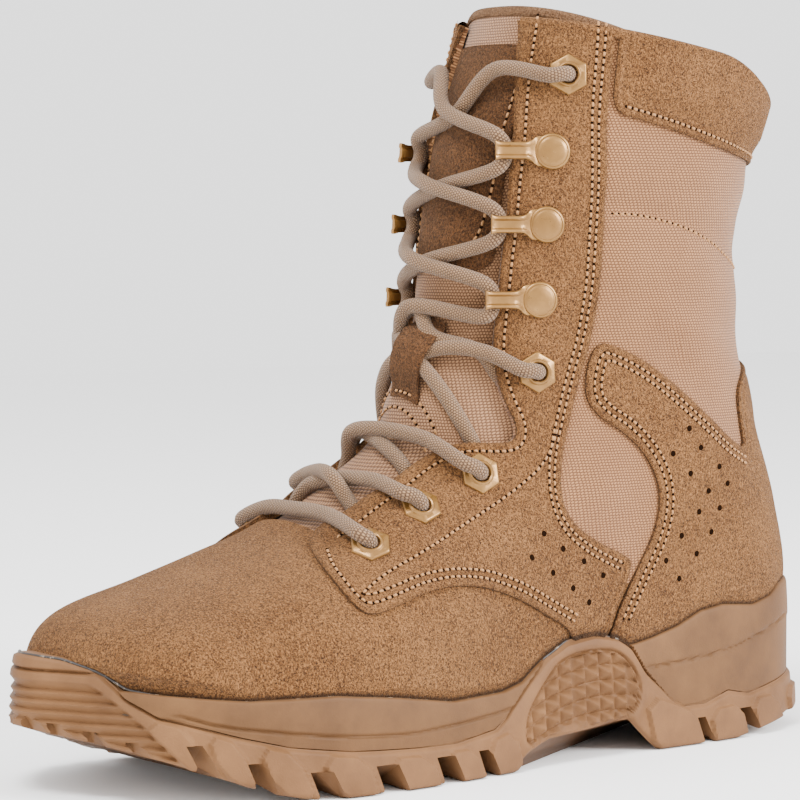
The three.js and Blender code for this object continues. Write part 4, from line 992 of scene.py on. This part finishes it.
shell_places, shell_faces = grid(stations(44, 170, 120), np.linspace(-1, 1, 261))
shell_places, shell_faces, outside = cut(shell_places, shell_faces, throat_field(shell_places))
shell_faces = shell_faces[outside]
shell_places, shell_faces, vamp_side = cut(shell_places, shell_faces, -in_outline(shell_places, VAMP_BACK))
skin("vamp", shell_faces[vamp_side], shell_places, shell_heights, SUEDE, ["upper"], -WALL)
skin("shaft_nylon", shell_faces[~vamp_side], shell_places, shell_heights, NYLON, ["upper"], -WALL)
inner_places, inner_faces = grid(stations(16, 60, 60), np.linspace(-1, 1, 91))
inner_places, inner_faces, outside = cut(inner_places, inner_faces, throat_field(inner_places))
inner_places, inner_faces = keep(inner_places, inner_faces[outside])
build("lining", surface(*inner_places.T, np.full(len(inner_places), -WALL)), inner_faces, SOCK,
      ["upper"], uv=girth_uv(inner_places))

# Panels
SIDES = {"lateral": 1, "medial": -1}
for side_name, side in SIDES.items():
    us = np.linspace(min(side, 0.0), max(side, 0.0), 150)
    panel("quarter_" + side_name, QUARTER, stations(30, 170, 130), us)
both_sides = np.linspace(-1, 1, 300)
panel("counter", COUNTER_LINE, stations(2, 190, 150), both_sides)
panel("collar_cuff", CUFF_LINE, np.linspace(9, COLLAR, 90), both_sides, 1.6)

# Tongue
TONGUE_THICK, TONGUE_RISE = 4.6, 0.55
TONGUE_LINE = np.concatenate([[[112, 300], [113, 258]], THROAT_LINE - [11, 0],
                              [[227, 67], [227, 112], [290, 140], [290, 300]]])


def tongue_top(u):
    """Station of the tongue's top edge, which falls away to both sides."""
    fall = np.where(u > 0, (u / 0.42) ** 2, (u / 0.24) ** 4)
    return COLLAR + TONGUE_RISE * (1 - np.minimum(fall, 4))


places, faces, distance = region(TONGUE_LINE, np.linspace(0.8, COLLAR + 0.62, 260), np.linspace(-0.6, 0.6, 150))
places, faces, below = cut(places, faces, tongue_top(places[:, 1]) - places[:, 0])
places, faces = keep(places, faces[below])
n = len(places)
sheets = [surface(*places.T, np.full(n, TONGUE_OUT - depth)) for depth in (0, TONGUE_THICK)]
edges = rim_edges(faces)
tongue_faces = np.concatenate([faces, faces[:, ::-1] + n, walls(edges, edges + n)])
build("tongue_skin", np.concatenate(sheets), tongue_faces, TONGUE_NYLON, ["tongue"],
                uv=np.tile(girth_uv(places), (2, 1)))

# Places on the form, from the side view
SAMPLE_V = np.concatenate([np.linspace(-0.98, 0, 24), np.linspace(0.03, COLLAR + 0.9, 420)])
SAMPLE_U = np.linspace(0.02, 0.99, 90)


def sample_tree(side):
    """Side-view places of a grid over one side of the form, to start a search from."""
    v, u = np.meshgrid(SAMPLE_V, SAMPLE_U, indexing="ij")
    flat = side_view(form(v, u * side)).reshape(-1, 2)
    tree = kdtree.KDTree(len(flat))
    for k, (a, z) in enumerate(flat.tolist()):
        tree.insert((a, z, 0), k)
    tree.balance()
    return tree, v.ravel(), u.ravel()


TREES = {side: sample_tree(side) for side in (1, -1)}


def locate(flat, side):
    """Stations and girths of side-view places."""
    tree, vs, us = TREES[side]
    near = np.array([tree.find((a, z, 0))[1] for a, z in flat.tolist()])
    v, u = vs[near].copy(), us[near].copy()
    for _ in range(8):
        here = side_view(form(v, u * side))
        by_v = (side_view(form(v + 0.002, u * side)) - here) / 0.002
        by_u = (side_view(form(v, (u + 0.002) * side)) - here) / 0.002
        det = by_v[:, 0] * by_u[:, 1] - by_v[:, 1] * by_u[:, 0]
        det = np.where(np.abs(det) < 1, np.sign(det + 1e-9), det)
        miss = flat - here
        v = v + np.clip((miss[:, 0] * by_u[:, 1] - miss[:, 1] * by_u[:, 0]) / det, -0.1, 0.1)
        more = np.clip((miss[:, 1] * by_v[:, 0] - miss[:, 0] * by_v[:, 1]) / det, -0.03, 0.03)
        u = np.clip(u + more, 0.005, 0.995)
    return v, u * side


# Stitches: a short thread and a dark spot of painted hole shade for each. A ring of a thread has a place along it,
# a size and a rise
THREADS, HOLES = [], []
CAPSULE = [(0.17, 0.4, -0.1), (0.28, 1.0, 0.12), (0.5, 1.1, 0.28), (0.72, 1.0, 0.12), (0.83, 0.4, -0.1)]
THREAD_RADIUS, HOLE_RADIUS, STITCH_PITCH = 0.42, 0.6, 2.5
SIXTHS = np.arange(6) * PI / 3


def spokes(first, second, start=0.0):
    """Six directions round a place, in the plane of two axes."""
    return [first * math.cos(angle + start) + second * math.sin(angle + start) for angle in SIXTHS]


def hole(point, out, first, second, radius, rise_by, dome, start=0.0):
    """A dark six-sided spot just over the leather: painted shade where a hole would be."""
    rim = [point + out * rise_by + radius * spoke for spoke in spokes(first, second, start)]
    HOLES.append(np.array([point + out * (rise_by + dome)] + rim))


def stitch(points, normals):
    for start, end, out in zip(points, points[1:], normals):
        forward = unit(end - start)
        across = unit(np.cross(forward, out))
        THREADS.append(np.array([
            start + (end - start) * t + out * (rise_by + 0.08) + THREAD_RADIUS * size * spoke
            for t, size, rise_by in CAPSULE for spoke in spokes(across, out * 0.8)]))
        hole(start, out, forward, across, HOLE_RADIUS, 0.11, 0.05)


def build_stitches(name, kind):
    """One piece from all threads or holes so far, whose lists then start again."""
    if kind == "threads":
        shapes, faces, material = THREADS, grid_faces(len(CAPSULE), 6, around=True), THREAD
    else:
        shapes, faces, material = HOLES, np.array([[0, k + 1, (k + 1) % 6 + 1] for k in range(6)]), HOLE
    faces = np.concatenate([faces + len(shapes[0]) * k for k in range(len(shapes))])
    build(name, np.concatenate(shapes), faces, material)
    shapes.clear()


def seam(line, height):
    """Stitches on both sides of the boot along a side-view line."""
    for side in SIDES.values():
        dense = evenly(np.asarray(line, float), 1.5)
        v, u = locate(dense, side)
        path = np.column_stack([surface(v, u, np.full(len(v), height)), form_normal(v, u)])
        path = path[np.linalg.norm(side_view(form(v, u)) - dense, axis=1) < 0.6]
        if len(path) > 3:
            even = evenly(path, STITCH_PITCH)
            stitch(even[:, :3], unit(even[:, 3:]))


def inset_line(part, polygon, depth):
    """A line a set distance inside an outline, along one part of it."""
    tangent = np.gradient(part, axis=0)
    normal = unit(np.stack([-tangent[:, 1], tangent[:, 0]], 1))
    tries = [part + normal * depth, part - normal * depth]
    inner = max(tries, key=lambda line: inside_distance(line, polygon).sum())
    return inner[inside_distance(inner, polygon) > depth - 0.35]


def part_line(table):
    return evenly(outline(table, 3, closed=False), 1.0)


SEAM_HEIGHT = PANEL - 0.3
seam(inset_line(evenly(THROAT_LINE, 1.0), QUARTER, SEAM_INSETS[0]), SEAM_HEIGHT)
for depth, height in zip(SEAM_INSETS, (SEAM_HEIGHT, PANEL)):
    seam(inset_line(part_line(QUARTER_REAR[3:]), QUARTER, depth), height)
    seam(inset_line(part_line(QUARTER_FRONT[3:-1]), QUARTER, depth), height)
    seam(inset_line(part_line(COUNTER_FRONT[1:] + COUNTER_TOP), COUNTER_LINE, depth), height)
seam(inset_line(part_line(QUARTER_FRONT[:5]), QUARTER, SEAM_INSETS[0]), SEAM_HEIGHT)
seam(inset_line(part_line(CUFF_FOOT), CUFF_LINE, SEAM_INSETS[0]), SEAM_HEIGHT)
STAY_SEAM = [(216, 62), (204.9, 67.7), (185.5, 75.2), (162.4, 84.6), (144.8, 93.6), (133.9, 101.5), (129, 112)]
SHAFT_SEAM = [(107.2, 184.3), (96.7, 184), (79.4, 180.5), (63.9, 175.3), (53.7, 170), (40, 165)]
seam(smooth_line(STAY_SEAM), PANEL - 0.05)
seam(smooth_line(SHAFT_SEAM), -0.1)
build_stitches("stitches", "threads")

# Perforations: dark spots of painted shade, as no holes are cut
PERFORATIONS = [
    (138.8, 77.1), (131.1, 71.7), (145.3, 69.6), (136.4, 64), (122, 67), (113.4, 61.7), (127.5, 58.3), (120.2, 53),
    (75.5, 110.4), (81.9, 101.9), (70, 103.6), (60.9, 96.5), (74.1, 94.7), (65.7, 88.3), (56.7, 90.4), (69.8, 81.2),
    (60.1, 82.1), (77.4, 73.2), (63.7, 73.8), (84.2, 64.9), (70.1, 66.5), (77.9, 58.2)]
for side in SIDES.values():
    v, u = locate(np.array(PERFORATIONS), side)
    for point, normal in zip(surface(v, u, np.full(len(v), PANEL)), form_normal(v, u)):
        across = unit(np.cross(normal, [0, 0, 1]))
        for start in (0, PI / 6):
            hole(point, normal, across, np.cross(normal, across), 1.1, 0.05, 0.07, start)
build_stitches("stitch_holes", "holes")

# Fittings: each row's station and girth
ROWS = [(2.37, 0.248), (3.34, 0.253), (4.62, 0.306), (6.59, 0.314), (7.72, 0.283), (9.70, 0.291), (11.20, 0.284),
        (12.86, 0.270)]
HOOK_ROWS = (4, 5, 6)


def fitting_frame(row, side):
    """Place and axes of a fitting: forward and level along the leather, and out from it."""
    v, u = ROWS[row]
    place = surface(np.array(v), np.array(u * side), PANEL + 0.05)
    out = form_normal(np.array(v), np.array(u * side))
    forward = unit(np.cross(out, [0, 0, 1]) * side)
    return place, forward, np.cross(forward, out) * side, out


def at_fitting(row, side, forward, level, out):
    """A place by a fitting, so far along its three axes."""
    place, ahead, up_axis, away = fitting_frame(row, side)
    return place + ahead * forward + up_axis * level + away * out


def ring_solid(profile, around=48):
    """Rings from an inner to an outer profile; a row is a radius, how hexagonal it is, and a height."""
    turn = np.arange(around) * 2 * PI / around
    hexagon = 1 / np.cos((turn + PI / 6) % (PI / 3) - PI / 6)
    rings = []
    for radius, six, z in profile:
        reach = radius * (1 + (hexagon - 1) * six)
        rings.append(np.stack([reach * np.cos(turn), reach * np.sin(turn), 0 * turn + z], 1))
    return np.concatenate(rings), tri(grid_faces(len(profile), around, around=True))


EYELET_RINGS = [(3.1, 0, -2.6), (3.1, 0, 1.2), (3.3, 0, 1.75), (3.75, 0, 1.95), (4.15, 0, 1.75), (4.35, 0, 1.25),
                (4.5, 0.1, 1.1), (5.6, 1, 1.1), (6.0, 1, 0.85), (6.2, 1, 0.4), (6.2, 1, -0.1)]
DISC_RINGS = [(0.02, 0, 2.0), (2.2, 0, 1.92), (3.9, 0, 1.72), (4.7, 0, 1.5), (4.95, 0, 1.28), (5.15, 0, 1.28),
              (5.35, 0, 1.5), (5.75, 0, 1.42), (6.1, 0, 1.0), (6.2, 0, 0.4), (6.2, 0, -0.1)]


# The hook's arm, outwards from its disc: how far ahead, how high, its half width and the height of its rails.
# Then half of its section, from the edge to the middle: a share of the half width and of the rails' height
ARM = np.array([
    (2.5, 0.9, 5.2, 0), (5, 0.9, 5, 0), (6.2, 1.3, 4.3, 0.15), (7.4, 2.1, 3.5, 0.45), (8.6, 2.7, 3.05, 0.75),
    (9.8, 3, 2.9, 0.85), (12.3, 3.05, 2.85, 0.85), (14.8, 3.05, 2.85, 0.85), (17.2, 3.1, 2.85, 0.85),
    (18.6, 3.35, 2.95, 0.75), (19.5, 3.8, 3.25, 0.6), (20, 4.3, 3.4, 0.35)])
ARM_SECTION = np.array([(-1, 0.1), (-0.94, 0.75), (-0.82, 1), (-0.62, 1), (-0.5, 0.55), (-0.42, 0.08), (0, 0)])
ARM_THICK = 1.0


def arm_solid():
    """The hook's channelled arm: two rails with a floor between them, flared at the tip."""
    ahead, lift, half, rail = ARM.T[..., None]
    across, ridge = np.concatenate([ARM_SECTION, ARM_SECTION[-2::-1] * (-1, 1)]).T
    top = np.stack([ahead + 0 * across, half * across, lift + rail * ridge], -1)
    ring = np.concatenate([top, (top - (0, 0, ARM_THICK))[:, ::-1]], 1)
    n = ring.shape[1]
    last = (len(ARM) - 1) * n
    cap = [[last + k, last + k + 1, last + n - 2 - k] for k in range(n // 2 - 1)]
    cap += [[last + k, last + n - 2 - k, last + n - 1 - k] for k in range(n // 2 - 1)]
    return ring.reshape(-1, 3), np.concatenate([tri(grid_faces(len(ARM), n, around=True)), cap])


def place_fitting(name, row, side, solids):
    place, ahead, up_axis, out = fitting_frame(row, side)
    points = np.concatenate([solid[0] for solid in solids])
    starts = np.cumsum([0] + [len(solid[0]) for solid in solids])
    faces = np.concatenate([solid[1] + start for solid, start in zip(solids, starts)])
    if np.cross(ahead, up_axis) @ out < 0:
        faces = faces[:, ::-1]
    piece = build(name + "_fitting", place + points @ np.stack([ahead, up_axis, out]), faces, HARDWARE,
                  [name])
    piece.data.set_sharp_from_angle(angle=math.radians(FITTING_SHARP))


FITTING_SHARP = 42
for row in range(len(ROWS)):
    for side_name, side in SIDES.items():
        kind = "hook" if row in HOOK_ROWS else "eyelet"
        solids = [ring_solid(DISC_RINGS), arm_solid()] if kind == "hook" else [ring_solid(EYELET_RINGS)]
        place_fitting("%s_%d_%s" % (kind, row + 1, side_name), row, side, solids)


def u_at(v, x):
    """Girth of a place x millimetres to the side of the front ridge."""
    row = station_rows(np.asarray(v, float))
    width = np.where(x >= 0, row[..., 4] - row[..., 6], row[..., 6] - row[..., 5])
    share = np.clip(np.abs(x) / width, 0, 1) ** (row[..., 10] / 2)
    return np.sign(x) * TURN * 2 / PI * np.arcsin(share)


def ridge_v(height):
    """Station where the front ridge has a height."""
    vs = np.linspace(3, COLLAR + 0.9, 800)
    return float(np.interp(height, form(vs, 0 * vs)[:, 2], vs))


def at_ridge(height, x, offset):
    """A place over the tongue, x millimetres to the side of the ridge that is at a height."""
    v = ridge_v(height)
    return on_form(v, u_at(v, x), offset)


# Laces
LACE_R, LACE_STEP, LACE_SIDES, LACE_WRAP = 2.6, 0.9, 18, 16.32
KEEPER_AT, KEEPER_HEIGHT = 5, 137


def curve_points(points, spacing):
    """A smooth curve through its points, with knots spaced by the root of their distance."""
    p = np.asarray(points, float)
    p = np.concatenate([[2 * p[0] - p[1]], p, [2 * p[-1] - p[-2]]])
    line = []
    for i in range(len(p) - 3):
        knots = np.concatenate([[0], np.cumsum(np.sqrt(np.linalg.norm(np.diff(p[i:i + 4], axis=0), axis=1)))])
        t = np.linspace(knots[1], knots[2], 14, endpoint=False)[:, None]
        level = list(p[i:i + 4])
        for width in (1, 2):
            spans = zip(knots, knots[width:], level, level[1:])
            level = [((last - t) * a + (t - first) * b) / (last - first) for first, last, a, b in spans]
        line.append(((knots[2] - t) * level[0] + (t - knots[1]) * level[1]) / (knots[2] - knots[1]))
    return evenly(np.concatenate(line + [p[-2:-1]]), spacing)


def tube(name, points, radius, material, nodes=(), around=LACE_SIDES, spacing=LACE_STEP):
    """A round cord through points, with its weave's width and length in mm."""
    line = curve_points(points, spacing)
    tangent = unit(np.gradient(line, axis=0))
    normal = np.zeros_like(line)
    normal[0] = unit(np.cross(tangent[0], [0.3, 0.2, 1.0]))
    for k in range(1, len(line)):
        normal[k] = unit(normal[k - 1] - tangent[k] * (normal[k - 1] @ tangent[k]))
    other = np.cross(tangent, normal)
    angle = np.linspace(0, 2 * PI, around + 1)
    cosine, sine = np.cos(angle)[None, :, None], np.sin(angle)[None, :, None]
    rings = line[:, None] + radius * (normal[:, None] * cosine + other[:, None] * sine)
    uv = np.stack(np.broadcast_arrays(angle[None] / (2 * PI) * LACE_WRAP, run_of(line)[:, None]), -1) + 40
    return build(name, rings.reshape(-1, 3), tri(grid_faces(len(line), around + 1)), material, nodes, None,
                 uv.reshape(-1, 2))


def on_form(v, u, offset):
    """One place over the form."""
    return surface(np.array(float(v)), np.array(float(u)), offset)


def edge_u(v):
    """Where the throat's edge lies on a station."""
    us = np.linspace(0.02, 0.5, 200)
    field = throat_field(np.stack([np.full(200, v), us], 1))
    return float(us[np.argmax(field > 0)])


def between(start, end, share, offset):
    """A place part of the way between two stations and girths."""
    return on_form(start[0] + (end[0] - start[0]) * share, start[1] + (end[1] - start[1]) * share, offset)


def into_eyelet(row, side, lean):
    """Places that lead over an eyelet's rim and down through it."""
    return [at_fitting(row, side, *step) for step in (
        (6.5, lean * 2.2, 4.3), (3.0, lean, 4.1), (0.6, 0, 2.4), (0, 0, -0.5), (0, 0, -3.2))]


def under_facing(v, side):
    """Places that lead out from under the facing's edge."""
    u = edge_u(v)
    return [on_form(v - 0.12, side * (u + 0.07), -4.6), on_form(v - 0.04, side * (u + 0.015), -3.6),
            on_form(v + 0.03, side * (u - 0.035), -1.6)]


BAR_END = [(0, 0, -3.2), (0, 0, -0.5), (0.6, 0.1, 2.4), (3.2, 0.6, 4.2)]
bar = [at_fitting(0, 1, *step) for step in BAR_END]
bar += [on_form(2.3, 0.12, 2.6), on_form(2.28, 0, 0.6), on_form(2.3, -0.12, 2.6)]
bar += [at_fitting(0, -1, *step) for step in BAR_END[::-1]]
tube("lace_bar", bar, LACE_R, LACE, ["lace_bar_1"])
LOW, LAYER = TONGUE_OUT + LACE_R + 0.15, 4.6
# Places round a hook's arm, and the heights where the strands cross above each hook row
HOOK_TURN = [(18.2, -5.2, -1.6), (15.8, -1.8, -1.9), (15.8, 1.8, -1.9), (18.2, 5.2, -1.6)]
HOOK_CROSSINGS = ((4, 168), (5, 193), (6, 218))


def low_strand(row, v_low, v_mid, side, middle):
    """From under one facing over the ridge to the other side's next eyelet."""
    v_next, u_next = ROWS[row + 1]
    return (under_facing(v_low, side) + [on_form(v_mid, side * 0.05, middle)]
            + [between((v_mid, 0), (v_next, -side * u_next), 0.5, 2.4)] + into_eyelet(row + 1, -side, 1.1))


def keeper_strand(side, lift):
    """The strand that passes through the keeper."""
    v_keeper = ridge_v(KEEPER_HEIGHT)
    held = (v_keeper, float(u_at(v_keeper, KEEPER_AT)))
    foot = (5.03, side * (edge_u(5.0) - 0.035))
    far = (ROWS[3][0], -side * ROWS[3][1])
    return (under_facing(5.0, side) + [between(foot, held, 0.35, -0.2), between(foot, held, 0.72, 0.0)]
            + [on_form(*held, lift), between(held, far, 0.3, 0.2), between(held, far, 0.62, 1.8)]
            + into_eyelet(3, -side, 0.3))


def hook_strand(side, over, under):
    """The strand that zigzags round the hooks up to the last eyelet."""
    path = under_facing(6.1, side) + [at_ridge(145, side * 9, 0.2), at_ridge(152, 0, under)]
    turn = -side
    for row, crossing in HOOK_CROSSINGS:
        path += [at_fitting(row, turn, *step) for step in HOOK_TURN]
        path += [at_ridge(crossing, 0, over if row == 5 else under)]
        turn = -turn
    v_last = ROWS[7][0]
    return path + [on_form(v_last - 0.3, turn * (edge_u(v_last) - 0.04), 3.4)] + into_eyelet(7, turn, -0.4)


for side_name, side in SIDES.items():
    over, under = (LOW + LAYER, LOW) if side > 0 else (LOW, LOW + LAYER)
    strands = {(1, 2): low_strand(0, 2.68, 2.82, side, over), (2, 3): low_strand(1, 3.62, 3.74, side, under),
               (3, 4): keeper_strand(side, 0.6 if side > 0 else -0.2), (4, 8): hook_strand(side, over, under)}
    for (first, last), points in strands.items():
        nodes = ["lace_crossing_%d_%d" % (k, k + 1) for k in range(first, last)]
        tube("lace_%d_%d_%s" % (first, last, side_name), points, LACE_R, LACE, nodes)


def strip(name, heights, halves, lifts, material, nodes, thick, columns=15, shift=0.0):
    """A strip of leather up the front of the tongue, closed, at lifts above the form."""
    across = np.linspace(-1, 1, columns)
    vs = np.array([ridge_v(h) for h in heights])[:, None] + 0 * across
    us = u_at(vs, np.array(halves)[:, None] * across + shift)
    lift = np.array(lifts)[:, None] + 0 * across
    top, under = surface(vs, us, lift), surface(vs, us, lift - thick)
    ring = np.concatenate([top, under[:, ::-1]], 1)
    n = ring.shape[1]
    faces = grid_faces(len(heights), n, around=True)
    caps = [[k, k + 1, n - 2 - k, n - 1 - k] for k in range(columns - 1)]
    last = (len(heights) - 1) * n
    caps += [[last + q for q in cap][::-1] for cap in caps]
    return build(name, ring.reshape(-1, 3), tri(np.concatenate([faces, np.array(caps)])), material, nodes)


KEEPER_FOOT, KEEPER_LONG, KEEPER_THICK = 123, 27.5, 1.1
PATCH_FOOT, PATCH_LONG, PATCH_HALF, PATCH_THICK = 167, 76, 22.5, 0.95
along = np.linspace(0, 1, 40)
keeper_rise = np.interp(along, [0, 0.14, 0.3, 0.45, 0.6, 0.8, 0.9, 1], [0, 0.1, 3.4, 5.7, 6.2, 4.6, 1.2, 0.6])
strip("keeper", KEEPER_FOOT + KEEPER_LONG * along, 6.6 + 0.5 * np.cos(along * 2 * PI),
      TONGUE_OUT + KEEPER_THICK + keeper_rise, DARK_SUEDE, ["lace_keeper"], KEEPER_THICK,
      shift=KEEPER_AT)

# Patch on the tongue
along = np.linspace(0, 1, 90)
corner = np.sqrt(1 - (1 - np.minimum(1, along / 0.2)) ** 2)
strip("patch", PATCH_FOOT + PATCH_LONG * along, PATCH_HALF * np.minimum(1, corner * 0.75 + 0.25),
      np.full(len(along), TONGUE_OUT + 1.0), DARK_SUEDE, ["tongue_patch"], PATCH_THICK, 61)


def front_seam(places, lift, pitch=2.9):
    """Stitches on the tongue: each place is a height and a distance to the side."""
    places = evenly(smooth_line(places, 2), pitch / 2)
    vs = np.array([ridge_v(h) for h in places[:, 0]])
    us = u_at(vs, places[:, 1])
    path = evenly(np.column_stack([surface(vs, us, np.full(len(vs), lift)), form_normal(vs, us)]), pitch)
    stitch(path[:, :3], unit(path[:, 3:]))


PATCH_SEAM = [(240, -20), (200, -20), (182, -18.5), (172.5, -12), (169.5, 0)]
front_seam(PATCH_SEAM + [(height, -x) for height, x in PATCH_SEAM[-2::-1]], TONGUE_OUT + 1.0)
for height in (120.0, 126.5):
    front_seam([(height - drop, x) for drop, x in ((7, -22), (1.5, -12), (0, 0), (1.5, 12), (7, 22))], TONGUE_OUT)
front_seam([(125, KEEPER_AT - 4.6), (125, KEEPER_AT + 4.6)], TONGUE_OUT + 1.1, 2.3)
build_stitches("tongue_stitches", "threads")
build_stitches("tongue_stitch_holes", "holes")

# Binding on the tongue's top: steps along the form and out from the tongue
BINDING = np.array([
    (-0.28, 0.0), (-0.27, 0.5), (-0.2, 0.8), (-0.08, 0.85), (0.0, 0.5), (0.035, -0.4), (0.045, -2.3),
    (0.035, -4.2), (0.0, -5.0), (-0.08, -5.3), (-0.27, -5.2)])
us = np.linspace(-0.27, 0.42, 60)[:, None]
rings = surface(tongue_top(us) + BINDING[:, 0], us + 0 * BINDING[:, 0], TONGUE_OUT + BINDING[:, 1] + 0 * us)
build("tongue_binding", rings.reshape(-1, 3), tri(grid_faces(len(us), len(BINDING), around=True)), BINDING_SUEDE)

# The collar's rolled edge
ROLL_RADIUS = 2.1
side_us = np.linspace(edge_u(COLLAR) + 0.004, 0.995, 60)
roll = surface(np.full(120, COLLAR - 0.02), np.concatenate([side_us, -side_us[::-1]]), np.full(120, -0.25))
tube("collar_roll", roll, ROLL_RADIUS, SUEDE, (), 14, 1.5)

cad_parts["insole"].data.materials.clear()
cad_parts["insole"].data.materials.append(SOCK)
